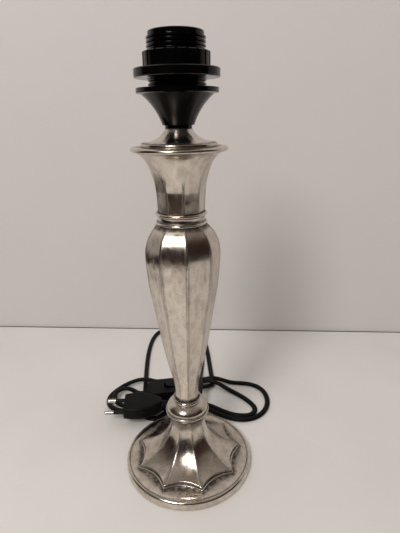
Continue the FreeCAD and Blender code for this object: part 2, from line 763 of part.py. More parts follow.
def switch_pieces():
    cord_hole = cord_width + 0.1
    cord_rise = cord_thick + 0.1
    mid_z = switch_height / 2
    reach = switch_length / 2
    tunnel = Part.Face(stadium(cord_hole, cord_rise, vec(-reach - 1, 0, mid_z), vec(0, 1, 0), Z))
    tunnel = tunnel.extrude(vec(switch_length + 2, 0, 0))
    split = mid_z
    lower = switch_half(0, split, switch_wall)
    upper = switch_half(split, switch_height - split, split - switch_wall)
    ears = []
    for side in (-1, 1):
        y = side * (rocker_width / 2 + rocker_gap + 0.8)
        ears.append(block(4.4, 1.6, switch_height - switch_wall - split + 0.4, (0, y, split)))
    for ear in ears:
        upper = upper.fuse(ear)
    axis = rocker_axis_z()
    pin_length = rocker_width + 2 * rocker_gap + 3.0
    pin_start = vec(0, -pin_length / 2, axis)
    upper = upper.cut(Part.makeCylinder(rocker_pin_r, pin_length, pin_start, vec(0, 1, 0)))
    window = block(rocker_length + 2 * rocker_gap + 1.6, rocker_width + 2 * rocker_gap, switch_height,
                   (0, 0, split + 0.5))
    upper = upper.cut(window)
    lower = lower.cut(tunnel)
    upper = upper.cut(tunnel)
    screws = []
    for side in (-1, 1):
        x = side * switch_screw_x
        y = side * switch_screw_y
        lower = lower.fuse(Part.makeCylinder(switch_post_r, split - switch_wall, vec(x, y, switch_wall)))
        lower = lower.cut(Part.makeCylinder(switch_screw_r + fit_gap, split + 1, vec(x, y, -0.5)))
        lower = lower.cut(Part.makeCylinder(switch_head_r + 0.1, 1.4, vec(x, y, -0.2)))
        upper = upper.fuse(Part.makeCylinder(switch_post_r, switch_height - switch_wall - split, vec(x, y, split)))
        upper = upper.cut(Part.makeCylinder(switch_screw_r, 5.0, vec(x, y, split - 0.1)))
        shank = Part.makeCylinder(switch_screw_r, split + 4.0, vec(x, y, 0.2))
        head = Part.makeCylinder(switch_head_r, 1.0, vec(x, y, 0.15))
        screws.append(head.fuse(shank))
    save("switch_lower_case", in_switch(lower))
    save("switch_upper_case", in_switch(upper))
    save("switch_screws", Part.makeCompound([in_switch(item) for item in screws]))
    save("switch_rocker", in_switch(rocker()))
    save("rocker_pin", in_switch(Part.makeCylinder(rocker_pin_r, pin_length, pin_start, vec(0, 1, 0))))
    rails = []
    for side in (-1, 1):
        rails.append(block(6.0, 4.0, 4.0, (side * switch_terminal_x, -side * switch_terminal_y, switch_wall)))
    save("switch_terminals", Part.makeCompound([in_switch(item) for item in rails]))
    bridge = block(22.0, 2.6, 0.6, (0, switch_terminal_y, switch_wall))
    for side in (-1, 1):
        bridge = bridge.fuse(block(2.0, 2.6, 2.4, (side * 10.0, switch_terminal_y, switch_wall)))
    save("switch_link_bar", in_switch(bridge))
    for name, side in (("switch_tail_left", -1), ("switch_tail_right", 1)):
        end = vec(side * reach, 0, mid_z)
        section = Part.Face(stadium(cord_width, cord_thick, end, vec(0, 1, 0), Z))
        save(name, in_switch(section.extrude(vec(-side * switch_tail_inside, 0, 0))))


# ---------------------------------------------------------------- plug
def plug_pieces():
    axis_z = plug_floor + plug_thick / 2
    face = plug_face_x
    back = face + plug_length
    half = plug_face_width / 2
    wide = plug_width / 2
    tail = plug_tail_width / 2
    swell = 0.395 * plug_length
    shoulder = face + 0.74 * plug_length
    edges = [
        Part.LineSegment(vec(face, half), vec(face, -half)).toShape(),
        Part.Arc(vec(face, -half), vec(face + 0.47 * swell, -wide + 0.3), vec(face + swell, -wide)).toShape(),
        Part.Arc(vec(face + swell, -wide), vec(shoulder, -wide + 3.6), vec(back, -tail)).toShape(),
        Part.LineSegment(vec(back, -tail), vec(back, tail)).toShape(),
        Part.Arc(vec(back, tail), vec(shoulder, wide - 3.6), vec(face + swell, wide)).toShape(),
        Part.Arc(vec(face + swell, wide), vec(face + 0.47 * swell, wide - 0.3), vec(face, half)).toShape()]
    body = Part.Face(Part.Wire(edges)).extrude(vec(0, 0, plug_thick))
    rims = [edge for edge in body.Edges if abs(edge.BoundBox.ZLength) < 0.01 and edge.BoundBox.XLength > 1]
    body = body.makeFillet(plug_rounding, rims)
    body.translate(vec(0, plug_y, plug_floor))
    relief = Part.makeCone(tail, tube_r + 1.0, plug_tail_length, vec(back, plug_y, axis_z), vec(1, 0, 0))
    step = plug_tail_length / (plug_tail_ribs + 1)
    for k in range(plug_tail_ribs):
        x = back + (k + 0.8) * step
        groove = Part.makeCylinder(9, step * 0.3, vec(x, plug_y, axis_z), vec(1, 0, 0))
        core = Part.makeCylinder(tube_r + 0.7, step * 0.3, vec(x, plug_y, axis_z), vec(1, 0, 0))
        relief = relief.cut(groove.cut(core))
    body = body.fuse(relief)
    insert_depth = pin_inside + 1.0
    insert = block(insert_depth, pin_spacing + 4.4, 7.0, (face + insert_depth / 2 + 0.8, plug_y, axis_z - 3.5))
    body = body.cut(insert)
    pins = []
    sleeves = []
    for side in (-1, 1):
        y = plug_y + side * pin_spacing / 2
        tip = vec(face - pin_length, y, axis_z)
        shank = Part.makeCylinder(pin_r, pin_length - sleeve_length, tip, vec(1, 0, 0))
        shank = shank.makeFillet(1.2, [shank.Edges[k] for k in range(3) if abs(
            shank.Edges[k].CenterOfMass.x - tip.x) < 0.01][:1])
        stem = Part.makeCylinder(pin_r - 0.5, sleeve_length + pin_inside, vec(face - sleeve_length, y, axis_z),
                                 vec(1, 0, 0))
        pins.append(shank.fuse(stem))
        sleeve = Part.makeCylinder(sleeve_r, sleeve_length + 0.8, vec(face - sleeve_length, y, axis_z), vec(1, 0, 0))
        sleeves.append(sleeve.cut(stem))
        body = body.cut(Part.makeCylinder(sleeve_r, 2, vec(face - 1, y, axis_z), vec(1, 0, 0)))
        insert = insert.cut(stem)
    save("plug_body", body)
    save("plug_insert", insert)
    save("plug_pins", Part.makeCompound(pins))
    save("plug_sleeves", Part.makeCompound(sleeves))


# ---------------------------------------------------------------- cord
# The free cord's route, followed from the photograph: the lead from the gland to the switch's right end,
# the link from the hank to the switch's left end, two turns of hank, and the tail from the plug.
lead_route = [
    (1.2, 72.6, 2.6), (-6.6, 75.8, 2.2), (-14.4, 72.6, 2.2), (-21.0, 64.2, 2.2), (-28.2, 54.6, 2.2),
    (-35.2, 52.6, 2.2), (-41.4, 54.6, 2.2), (-45.4, 59.8, 2.2), (-46.7, 67.4, 2.2), (-46.9, 80.0, 2.2),
    (-47.2, 95.0, 2.2), (-47.8, 115.0, 2.2), (-49.0, 145.0, 2.2), (-49.3, 176.0, 2.2),
    (-47.5, 205.0, 2.2), (-42.8, 229.0, 2.4), (-32.5, 241.0, 4.0), (-14.0, 242.5, 4.2), (6.0, 238.0, 3.0),
    (21.0, 225.0, 2.2), (27.5, 203.0, 2.2), (29.0, 176.0, 2.2), (29.5, 150.0, 2.2), (30.0, 126.0, 2.2),
    (31.4, 112.0, 2.4), (29.2, 102.4, 4.6)]
tail_route = [
    (2.0, 57.0, 16.0), (10.0, 60.6, 16.5), (13.6, 69.0, 16.7), (14.5, 80.0, 16.2), (16.2, 91.5, 15.0),
    (15.9, 102.5, 12.6), (15.6, 112.0, 9.3), (16.3, 122.5, 4.6), (18.2, 136.0, 2.3), (20.8, 157.0, 2.2),
    (21.4, 180.0, 2.2), (20.4, 193.0, 2.2), (15.9, 200.6, 2.2), (8.2, 203.4, 2.2), (0.6, 200.6, 2.2),
    (-3.9, 193.0, 2.2), (-5.0, 180.0, 2.2), (-5.0, 160.0, 2.2)]
hank_route = [
    (-4.0, 138.0, 2.2), (0.5, 124.0, 2.2), (9.5, 116.5, 2.4), (20.5, 113.8, 5.0), (30.8, 112.8, 7.6),
    (41.0, 111.3, 5.2), (51.0, 109.3, 2.6), (62.0, 108.0, 2.2), (74.0, 105.2, 2.2), (83.5, 97.8, 2.2),
    (88.2, 86.0, 2.2), (87.8, 71.0, 2.2), (82.0, 57.5, 2.2), (71.5, 48.0, 2.2), (58.5, 44.5, 2.2),
    (46.0, 47.8, 2.2), (35.0, 54.0, 2.4), (24.0, 59.8, 4.6), (12.0, 62.8, 7.7), (-2.0, 63.3, 7.7),
    (-16.0, 63.0, 7.2), (-30.0, 61.3, 7.2), (-44.0, 60.0, 7.2), (-58.0, 59.8, 7.0), (-71.0, 62.5, 6.0),
    (-81.0, 69.8, 4.6), (-86.0, 81.0, 3.2), (-85.8, 94.0, 2.4), (-79.0, 105.0, 2.4), (-68.0, 112.5, 4.4),
    (-56.0, 115.6, 6.8), (-47.0, 115.6, 7.0), (-38.0, 114.3, 5.4), (-26.0, 112.8, 2.6),
    (-12.0, 112.3, 2.2), (2.0, 111.6, 2.3), (11.5, 109.6, 3.4), (19.5, 107.0, 7.0), (27.5, 104.9, 9.4),
    (36.0, 101.8, 7.2), (44.5, 97.3, 3.6), (53.0, 91.2, 2.2), (60.5, 83.4, 2.2), (66.8, 75.0, 2.2),
    (71.4, 66.2, 2.2), (71.9, 59.0, 2.2), (68.2, 53.4, 2.2), (61.8, 50.9, 2.2), (48.5, 52.8, 2.2),
    (36.5, 60.0, 2.6), (25.0, 65.7, 4.8), (12.5, 68.6, 7.5), (-2.0, 69.1, 7.6), (-16.0, 68.8, 7.2),
    (-30.0, 67.6, 7.2)]
link_route = [
    (-44.0, 66.0, 7.2), (-57.0, 66.0, 7.2), (-68.5, 69.4, 6.8), (-76.5, 76.6, 6.4), (-80.0, 86.4, 6.4),
    (-79.0, 93.4, 6.6), (-74.4, 98.6, 6.8), (-67.6, 99.8, 7.0), (-61.2, 96.6, 7.0), (-56.2, 91.4, 7.0)]


def switch_point(side, beyond):
    """A point on the switch's cord line, so far beyond its right (1) or left (-1) end."""
    a = math.radians(switch_turn)
    out = side * (switch_length / 2 + beyond)
    return (switch_x + out * math.cos(a), switch_y + out * math.sin(a), switch_floor + switch_height / 2)


def least_gap(wire):
    """The smallest clear distance between parts of the tube more than a loop's width apart along it."""
    step = 1.5
    points = wire.discretize(Distance=step)
    apart = int(4 * tube_r / step) + 8
    least = 1e9
    for i in range(0, len(points), 2):
        for j in range(i + apart, len(points)):
            least = min(least, points[i].distanceToPoint(points[j]))
    return least - 2 * tube_r


def cord_pieces():
    mouth, outwards, across = gland_frame()
    mouth = mouth + vec(0, 0, gland_z)
    plug_end = (plug_face_x + plug_length + plug_tail_length, plug_y, plug_floor + plug_thick / 2)
    first = (vec(*tail_route[-1]) + vec(*hank_route[0])) * 0.5
    last = (vec(*hank_route[-1]) + vec(*link_route[0])) * 0.5
    cord_tube("cord_lead", [tuple(mouth), tuple(mouth + outwards * 7)] + lead_route + [switch_point(1, 9), switch_point(1, 0)])
    cord_tube("cord_tail", [plug_end] + tail_route + [tuple(first)])
    hank = cord_tube("cord_hank", [tuple(first)] + hank_route + [tuple(last)])
    cord_tube("cord_link", [tuple(last)] + link_route + [switch_point(-1, 8), switch_point(-1, 0)])
    print(f"cord_hank: least gap to itself {least_gap(hank):.2f}")


base_pieces()
rod_pieces()
stem_pieces()
holder_pieces()
switch_pieces()
plug_pieces()
cord_pieces()
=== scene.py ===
# %% [markdown]
# # A candlestick lamp in silver plate
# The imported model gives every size. This lesson dresses it: it builds finer skins over the main
# pieces, lays the cord as one smooth line, and mixes a finish for each material.

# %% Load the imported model
import math

import bmesh
import bpy
import numpy as np
from mathutils import Matrix, Vector


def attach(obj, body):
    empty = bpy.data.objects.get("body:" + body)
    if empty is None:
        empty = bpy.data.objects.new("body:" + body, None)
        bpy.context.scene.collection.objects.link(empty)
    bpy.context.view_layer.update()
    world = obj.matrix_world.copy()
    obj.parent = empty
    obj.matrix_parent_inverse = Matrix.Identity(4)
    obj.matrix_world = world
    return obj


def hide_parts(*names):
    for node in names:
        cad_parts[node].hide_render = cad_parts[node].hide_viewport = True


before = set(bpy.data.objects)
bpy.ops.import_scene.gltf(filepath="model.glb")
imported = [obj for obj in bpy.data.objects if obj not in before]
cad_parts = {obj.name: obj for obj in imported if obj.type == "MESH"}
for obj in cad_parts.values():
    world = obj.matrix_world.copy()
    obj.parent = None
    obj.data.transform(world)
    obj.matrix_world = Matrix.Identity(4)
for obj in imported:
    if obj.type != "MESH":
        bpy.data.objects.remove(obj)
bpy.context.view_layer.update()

MM = 0.001


# %% [markdown]
# ## Camera
# The photograph was taken from a little over the cup's height, from the front, looking down on the
# table. Pitch, yaw and roll turn the camera's three axes, and the lens follows from its field of view.
# A camera could also be aimed at a point, but three plain angles can be tried out one by one.

# %% Place the camera
CAMERA_PLACE = (0, -0.305, 0.2977)                          # metres
CAMERA_PITCH, CAMERA_YAW, CAMERA_ROLL = 19.9, 2.47, -0.94   # degrees
CAMERA_LENS, CAMERA_SENSOR = 28.37, 36                      # millimetres


def axes_of(pitch, yaw, roll):
    """The camera's right, up and back directions, for angles in degrees."""
    pitch, yaw, roll = (math.radians(v) for v in (pitch, yaw, roll))
    forward = Vector((math.sin(yaw) * math.cos(pitch), math.cos(yaw) * math.cos(pitch), -math.sin(pitch)))
    level = Vector((math.cos(yaw), -math.sin(yaw), 0))
    upright = level.cross(forward)
    right = level * math.cos(roll) + upright * math.sin(roll)
    up = upright * math.cos(roll) - level * math.sin(roll)
    return right, up, -forward


camera_data = bpy.data.cameras.new("photo_camera")
camera_data.lens = CAMERA_LENS
camera_data.sensor_width = CAMERA_SENSOR
camera = bpy.data.objects.new("photo_camera", camera_data)
bpy.context.scene.collection.objects.link(camera)
camera_axes = Matrix(axes_of(CAMERA_PITCH, CAMERA_YAW, CAMERA_ROLL)).transposed().to_4x4()
camera.matrix_world = Matrix.Translation(Vector(CAMERA_PLACE)) @ camera_axes
bpy.context.scene.camera = camera
bpy.context.scene.view_settings.view_transform = "Standard"
print("camera at", CAMERA_PLACE, "with a lens of", CAMERA_LENS, "mm")

# %% [markdown]
# ## Helpers for nodes and colours
# One small function adds a node with its settings and its links, and one turns the colours that a
# paint chart gives into the linear values that a shader works with. Noise is asked for by the size of
# its blotches in millimetres, so that each grain can be read as a real size.

# %% Add a node, read a colour
def add(tree, kind, inputs=None, **settings):
    """A new node with its settings. A value in inputs is a plain value or another node's output."""
    node = tree.nodes.new(kind)
    for name, value in settings.items():
        setattr(node, name, value)
    for name, value in (inputs or {}).items():
        if isinstance(value, bpy.types.NodeSocket):
            tree.links.new(value, node.inputs[name])
        else:
            node.inputs[name].default_value = value
    return node


def colour(hexcode, alpha=1.0):
    """#RRGGBB as linear red, green, blue and alpha."""
    parts = [int(hexcode[k:k + 2], 16) / 255 for k in (1, 3, 5)]
    return [p / 12.92 if p <= 0.04045 else ((p + 0.055) / 1.055) ** 2.4 for p in parts] + [alpha]


def new_material(name):
    """An empty material, its node tree and its output."""
    material = bpy.data.materials.new(name)
    material.use_nodes = True
    material.node_tree.nodes.clear()
    return material, material.node_tree, add(material.node_tree, "ShaderNodeOutputMaterial")


# %% Noise of a real size, and blends
def noise(tree, where, size_mm, detail=2.0, roughness=0.5, stretch=None):
    """Noise whose blotches are about size_mm across. stretch draws them out along an axis."""
    if stretch:
        where = add(tree, "ShaderNodeMapping", {0: where, "Scale": stretch}).outputs[0]
    return add(tree, "ShaderNodeTexNoise", {"Vector": where, "Scale": 1 / (size_mm * MM), "Detail": detail,
                                            "Roughness": roughness}).outputs["Fac"]


def spread(tree, value, low, high, to_low=0.0, to_high=1.0):
    """Stretches the part of value from low to high over the new range, and clips the rest."""
    return add(tree, "ShaderNodeMapRange", {0: value, 1: low, 2: high, 3: to_low, 4: to_high}).outputs[0]




def blend_colours(tree, factor, first, second, how="MIX"):
    """The first colour where factor is 0, and the second where it is 1."""
    return add(tree, "ShaderNodeMix", {0: factor, 6: first, 7: second}, data_type="RGBA",
               blend_type=how).outputs[2]


# %% [markdown]
# ## Stage
# The lamp stands on a pale table against a pale pinkish wall, with a thin dark joint between the two.
# Both are single flat sheets. A narrow gap could make the joint, but light would leak through it, so a
# line in the table's paint stands for it. The wall shows only from its front, so that it never hides
# the lamp from a camera behind it.

# %% Two flat sheets
WALL_Y = 0.2485             # where the wall's foot crosses the lamp's middle plane
WALL_SLOPE = -0.1082        # the wall comes nearer towards the right
WALL_REACH, WALL_HEIGHT = 4, 2.2
TABLE_LEFT, TABLE_RIGHT, TABLE_FRONT, TABLE_BACK = -0.45, 1.0, -0.46, 0.4


def flat_sheet(name, corners):
    """One flat face of the stage, which isn't part of the lamp."""
    mesh = bpy.data.meshes.new(name)
    mesh.from_pydata(corners, [], [tuple(range(len(corners)))])
    sheet = bpy.data.objects.new(name, mesh)
    bpy.context.scene.collection.objects.link(sheet)
    return sheet


table = flat_sheet("stage_table", [(TABLE_LEFT, TABLE_FRONT, 0), (TABLE_RIGHT, TABLE_FRONT, 0),
                                   (TABLE_RIGHT, TABLE_BACK, 0), (TABLE_LEFT, TABLE_BACK, 0)])
left_y, right_y = WALL_Y - WALL_REACH * WALL_SLOPE, WALL_Y + WALL_REACH * WALL_SLOPE
wall = flat_sheet("stage_wall", [(-WALL_REACH, left_y, 0), (WALL_REACH, right_y, 0),
                                 (WALL_REACH, right_y, WALL_HEIGHT), (-WALL_REACH, left_y, WALL_HEIGHT)])
print(f"stage: a table {TABLE_RIGHT - TABLE_LEFT:.2f} m wide and a wall {WALL_HEIGHT} m high")

# %% [markdown]
# The table's top is matt laminate and the wall is matt paint. Broad, faint patches keep them from
# looking like cut paper. The joint is drawn where a point's distance from the wall's foot is small.

# %% Paint the table and the wall
JOINT = 0.0026              # width of the dark joint, in metres


def matt_paint(name, hexcode, roughness):
    """A matt surface with faint broad patches: its material, tree, output and shader."""
    material, tree, out = new_material(name)
    where = add(tree, "ShaderNodeTexCoord").outputs["Object"]
    patches = spread(tree, noise(tree, where, 120, detail=3), 0.3, 0.7, 0.0, 0.35)
    paint = blend_colours(tree, patches, colour(hexcode), colour("#C8C4BF"))
    shader = add(tree, "ShaderNodeBsdfPrincipled", {"Base Color": paint, "Roughness": roughness,
                                                    "Specular IOR Level": 0.25})
    return material, tree, out, shader


table_paint, tree, out, shader = matt_paint("stage_table_laminate", "#D9D6D2", 0.45)
along = add(tree, "ShaderNodeSeparateXYZ", {0: add(tree, "ShaderNodeTexCoord").outputs["Object"]})
level_with_wall = add(tree, "ShaderNodeMath", {0: along.outputs["X"], 1: -WALL_SLOPE, 2: along.outputs["Y"]},
                      operation="MULTIPLY_ADD")
past_joint = add(tree, "ShaderNodeMath", {0: level_with_wall.outputs[0], 1: WALL_Y - JOINT / 2},
                 operation="SUBTRACT")
off_joint = add(tree, "ShaderNodeMath", {0: past_joint.outputs[0]}, operation="ABSOLUTE")
joint_here = spread(tree, off_joint.outputs[0], JOINT * 0.4, JOINT * 0.6, 1, 0)
base = shader.inputs["Base Color"].links[0].from_socket
tree.links.new(blend_colours(tree, joint_here, base, colour("#4A4643")), shader.inputs["Base Color"])
tree.links.new(shader.outputs[0], out.inputs[0])
table.data.materials.append(table_paint)

wall_paint, tree, out, shader = matt_paint("stage_wall_paint", "#D0CAC8", 0.8)
clear = add(tree, "ShaderNodeBsdfTransparent")
behind = add(tree, "ShaderNodeNewGeometry").outputs["Backfacing"]
one_sided = add(tree, "ShaderNodeMixShader", {0: behind, 1: shader.outputs[0], 2: clear.outputs[0]})
tree.links.new(one_sided.outputs[0], out.inputs[0])
wall.data.materials.append(wall_paint)
print("stage paints:", table_paint.name, "and", wall_paint.name)

# %% [markdown]
# ## Light
# A broad soft lamp stands high at the front left. A weaker one fills from the right, and a third hangs
# from the ceiling. These two only light: polished metal doesn't mirror them.


# %% Hang the lamps
def area_lamp(name, place, aim, size, watts, tint, mirrored=True):
    """A rectangular lamp at place, turned to shine at aim. Polished metal shows it only if mirrored."""
    data = bpy.data.lights.new(name, "AREA")
    data.shape = "RECTANGLE"
    data.size, data.size_y = size
    data.energy = watts
    data.color = colour(tint)[:3]
    lamp = bpy.data.objects.new(name, data)
    bpy.context.scene.collection.objects.link(lamp)
    lamp.location = place
    lamp.rotation_euler = (Vector(aim) - Vector(place)).to_track_quat("-Z", "Y").to_euler()
    lamp.visible_glossy = mirrored
    return lamp


area_lamp("key_lamp", (-0.62, -1.05, 1.25), (0, 0, 0.15), (0.42, 0.6), 16, "#FFFAF6")
area_lamp("fill_lamp", (1.4, -1.2, 1.6), (0, 0.1, 0.15), (1.6, 1.6), 3, "#FFFAF6", mirrored=False)
area_lamp("ceiling_lamp", (-0.2, -0.1, 2.1), (0, 0, 0), (1.8, 1.8), 10, "#FFFBF8", mirrored=False)
print("lamps:", [light.name for light in bpy.data.lights])

# %% [markdown]
# Silver plate shows little but the room that it stands in. A photograph of a room could be wrapped
# round the lamp, but a ramp from floor to ceiling is enough: a dark band at eye level, a grey ceiling
# and a few warm brown patches. The camera itself sees a plain pale backdrop, and dull surfaces get an
# even soft light.

# %% The room that the metal mirrors
ROOM_STOPS = [(0.0, "#2A2622"), (0.40, "#15110F"), (0.62, "#15110F"), (0.75, "#3A342F"), (0.86, "#7E766E"),
              (1.0, "#9A928A")]     # from straight down to straight up
world = bpy.data.worlds.new("studio")
bpy.context.scene.world = world
world.use_nodes = True
tree = world.node_tree
tree.nodes.clear()
ray = add(tree, "ShaderNodeLightPath")
sky = add(tree, "ShaderNodeTexCoord").outputs["Generated"]
height = add(tree, "ShaderNodeSeparateXYZ", {0: sky}).outputs["Z"]
ramp = add(tree, "ShaderNodeValToRGB", {0: spread(tree, height, -1, 1)})
while len(ramp.color_ramp.elements) < len(ROOM_STOPS):
    ramp.color_ramp.elements.new(0.5)
for element, (place, hexcode) in zip(ramp.color_ramp.elements, ROOM_STOPS):
    element.position, element.color = place, colour(hexcode)
patches = add(tree, "ShaderNodeTexNoise", {"Vector": sky, "Scale": 2.2, "Detail": 1.0}).outputs["Fac"]
room = blend_colours(tree, spread(tree, patches, 0.5, 0.62, 0, 0.5), ramp.outputs[0], colour("#4A2A22"))
mirrored_room = add(tree, "ShaderNodeBackground", {"Color": room, "Strength": 1.0})
soft_light = add(tree, "ShaderNodeBackground", {"Color": colour("#F6F3F1"), "Strength": 0.36})
pale_view = add(tree, "ShaderNodeBackground", {"Color": colour("#D3CBC7"), "Strength": 1.0})
lit = add(tree, "ShaderNodeMixShader", {0: ray.outputs["Is Glossy Ray"], 1: soft_light.outputs[0],
                                        2: mirrored_room.outputs[0]})
seen = add(tree, "ShaderNodeMixShader", {0: ray.outputs["Is Camera Ray"], 1: lit.outputs[0],
                                         2: pale_view.outputs[0]})
add(tree, "ShaderNodeOutputWorld", {0: seen.outputs[0]})
print("room:", len(ROOM_STOPS), "stops from floor to ceiling")

# %% [markdown]
# ## Finishes of the black parts
# The lampholder is phenolic resin, pressed in a polished steel mould. The cord's jacket is extruded
# soft PVC, the switch is moulded ABS, the plug is soft PVC moulded over the cord's end, and the pins'
# sleeves are polyamide. One function mixes them all, because they differ only in colour, gloss and
# grain. The noise is given in millimetres, so the grain stays right however near the camera comes.

# %% Mix the black finishes
def moulded(name, hexcode, roughness, grain_mm, grain_depth_mm, lighter="#1A1918", shine=0.5):
    """A plastic: a body colour that shifts a little, and the fine grain that its mould or die leaves."""
    material, tree, out = new_material(name)
    where = add(tree, "ShaderNodeTexCoord").outputs["Object"]
    broad = noise(tree, where, 14, detail=3)
    fine = noise(tree, where, grain_mm, detail=2)
    body = blend_colours(tree, spread(tree, broad, 0.45, 0.8, 0, 0.25), colour(hexcode), colour(lighter))
    rough = spread(tree, broad, 0.3, 0.7, roughness - 0.04, roughness + 0.06)
    bump = add(tree, "ShaderNodeBump", {"Height": fine, "Distance": grain_depth_mm * MM, "Strength": 0.6})
    shader = add(tree, "ShaderNodeBsdfPrincipled", {
        "Base Color": body, "Roughness": rough, "Normal": bump.outputs[0], "IOR": 1.5,
        "Specular IOR Level": shine})
    tree.links.new(shader.outputs[0], out.inputs[0])
    return material


# Pressed phenolic is deep black and glossy, with the narrowest highlights of the blacks.
phenolic = moulded("phenolic_pressed_glossy", "#030303", 0.16, 1.6, 0.012, lighter="#070707", shine=0.3)
# Extruded soft PVC gives a broad, dim sheen along the cord.
cord_pvc = moulded("pvc_extruded_soft_black", "#070707", 0.42, 0.9, 0.03, lighter="#0C0C0C", shine=0.14)
# Moulded ABS has a satin face with a soft highlight.
switch_abs = moulded("abs_moulded_satin_black", "#070707", 0.36, 0.8, 0.03, lighter="#0C0B0B", shine=0.14)
# The plug's PVC comes out of a grained mould, and is the dullest of the blacks.
plug_pvc = moulded("pvc_moulded_matt_black", "#080808", 0.45, 0.8, 0.04, lighter="#0E0D0D", shine=0.14)
# Polyamide sleeves have a slight waxy shine.
sleeve_nylon = moulded("polyamide_sleeve_black", "#080808", 0.36, 0.8, 0.02, lighter="#0E0E0E", shine=0.2)
print("black finishes:", [m.name for m in (phenolic, cord_pvc, switch_abs, plug_pvc, sleeve_nylon)])

# %% [markdown]
# ## The flat cord
# A lamp of this size has a flat two-core lead, 5.4 mm wide and 3.4 mm thick. Its line is a NURBS spline
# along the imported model's points, a little lower because a flat lead is thinner. The curve's own bevel
# could give it a section too, but Geometry Nodes also keep that section level, as a flat lead lies.

# %% A smooth line and its points
CORD_WIDTH, CORD_THICK = 5.4, 3.4           # millimetres


def spline_object(name, points):
    """A smooth open NURBS line through control points in metres."""
    curve = bpy.data.curves.new(name, "CURVE")
    curve.dimensions = "3D"
    spline = curve.splines.new("NURBS")
    spline.points.add(len(points) - 1)
    for target, point in zip(spline.points, points):
        target.co = (*point, 1)
    spline.order_u = 3
    spline.use_endpoint_u = True
    spline.resolution_u = 10
    line = bpy.data.objects.new(name, curve)
    bpy.context.scene.collection.objects.link(line)
    return line


def points_of(line):
    """The points along a line with no bevel, in metres."""
    bpy.context.view_layer.update()
    mesh = bpy.data.meshes.new_from_object(line.evaluated_get(bpy.context.evaluated_depsgraph_get()))
    points = [v.co.copy() for v in mesh.vertices]
    bpy.data.meshes.remove(mesh)
    return points


# %% Make a Geometry Nodes tree, and take its result as a plain mesh
def new_group(name, sockets):
    """A Geometry Nodes tree with a geometry in and out, and named inputs given as (name, kind, value)."""
    tree = bpy.data.node_groups.new(name, "GeometryNodeTree")
    tree.interface.new_socket("Geometry", in_out="INPUT", socket_type="NodeSocketGeometry")
    tree.interface.new_socket("Geometry", in_out="OUTPUT", socket_type="NodeSocketGeometry")
    for label, kind, value in sockets:
        socket = tree.interface.new_socket(label, in_out="INPUT", socket_type="NodeSocket" + kind)
        if value is not None:
            socket.default_value = value
    return tree, add(tree, "NodeGroupInput"), add(tree, "NodeGroupOutput")


def grown(source, tree, name, values):
    """The plain mesh object that a Geometry Nodes tree makes from source, which is then removed."""
    modifier = source.modifiers.new(tree.name, "NODES")
    modifier.node_group = tree
    for item in tree.interface.items_tree:
        if item.in_out == "INPUT" and item.name in values:
            modifier[item.identifier] = values[item.name]
    bpy.context.view_layer.update()
    mesh = bpy.data.meshes.new_from_object(source.evaluated_get(bpy.context.evaluated_depsgraph_get()))
    source.modifiers.clear()
    piece = bpy.data.objects.new(name, mesh)
    mesh.name = name
    bpy.context.scene.collection.objects.link(piece)
    bpy.data.objects.remove(source)
    return piece


# %% Sweep a flat section along a line
sweep, given, result = new_group("flat_cord_sweep", [
    ("Width", "Float", CORD_WIDTH * MM), ("Thickness", "Float", CORD_THICK * MM),
    ("Material", "Material", None)])
outline = add(sweep, "GeometryNodeCurvePrimitiveQuadrilateral",
              {"Width": given.outputs["Width"], "Height": given.outputs["Thickness"]})
# A hair under half the thickness, so that the two arcs on each side don't meet in one point.
rounding = add(sweep, "ShaderNodeMath", {0: given.outputs["Thickness"], 1: 0.4999}, operation="MULTIPLY")
section = add(sweep, "GeometryNodeFilletCurve", {"Curve": outline.outputs[0], "Count": 5,
                                                 "Radius": rounding.outputs[0]}, mode="POLY")
level = add(sweep, "GeometryNodeSetCurveNormal", {"Curve": given.outputs["Geometry"]}, mode="Z_UP")
swept = add(sweep, "GeometryNodeCurveToMesh", {"Curve": level.outputs[0], "Profile Curve": section.outputs[0],
                                               "Fill Caps": True})
smooth = add(sweep, "GeometryNodeSetShadeSmooth", {0: swept.outputs[0]})
real = add(sweep, "GeometryNodeRealizeInstances", {0: smooth.outputs[0]})
painted = add(sweep, "GeometryNodeSetMaterial", {0: real.outputs[0], "Material": given.outputs["Material"]})
sweep.links.new(painted.outputs[0], result.inputs[0])
print("sweep:", [item.name for item in sweep.interface.items_tree])

# %% The lead from the base to the switch
lead_points = [
    (0.00401, 0.05736, 0.00295), (0.0045, 0.06434, 0.00295), (0.0012, 0.0726, 0.0022),
    (-0.0066, 0.0758, 0.0018), (-0.0144, 0.0726, 0.0018), (-0.021, 0.0642, 0.0018), (-0.0282, 0.0546, 0.0018),
    (-0.0352, 0.0526, 0.0018), (-0.0414, 0.0546, 0.0018), (-0.0454, 0.0598, 0.0018), (-0.0467, 0.0674, 0.0018),
    (-0.0469, 0.08, 0.0018), (-0.0472, 0.095, 0.0018), (-0.0478, 0.115, 0.0018), (-0.049, 0.145, 0.0018),
    (-0.0493, 0.176, 0.0018), (-0.0475, 0.205, 0.0018), (-0.0428, 0.229, 0.002), (-0.0325, 0.241, 0.004),
    (-0.014, 0.2425, 0.0042), (0.006, 0.238, 0.003), (0.021, 0.225, 0.0018), (0.0275, 0.203, 0.0018),
    (0.029, 0.176, 0.0018), (0.0295, 0.15, 0.0018), (0.03, 0.126, 0.0018), (0.0314, 0.112, 0.002),
    (0.0292, 0.1024, 0.0046), (0.02125, 0.09686, 0.007), (0.0123, 0.09592, 0.007)]
lead_line = spline_object("lead_line", lead_points)
lead_path = points_of(lead_line)
cord_lead = grown(lead_line, sweep, "cord_lead_jacket", {
    "Width": CORD_WIDTH * MM, "Thickness": CORD_THICK * MM, "Material": cord_pvc})
print("lead:", len(lead_path), "points,", len(cord_lead.data.polygons), "faces")

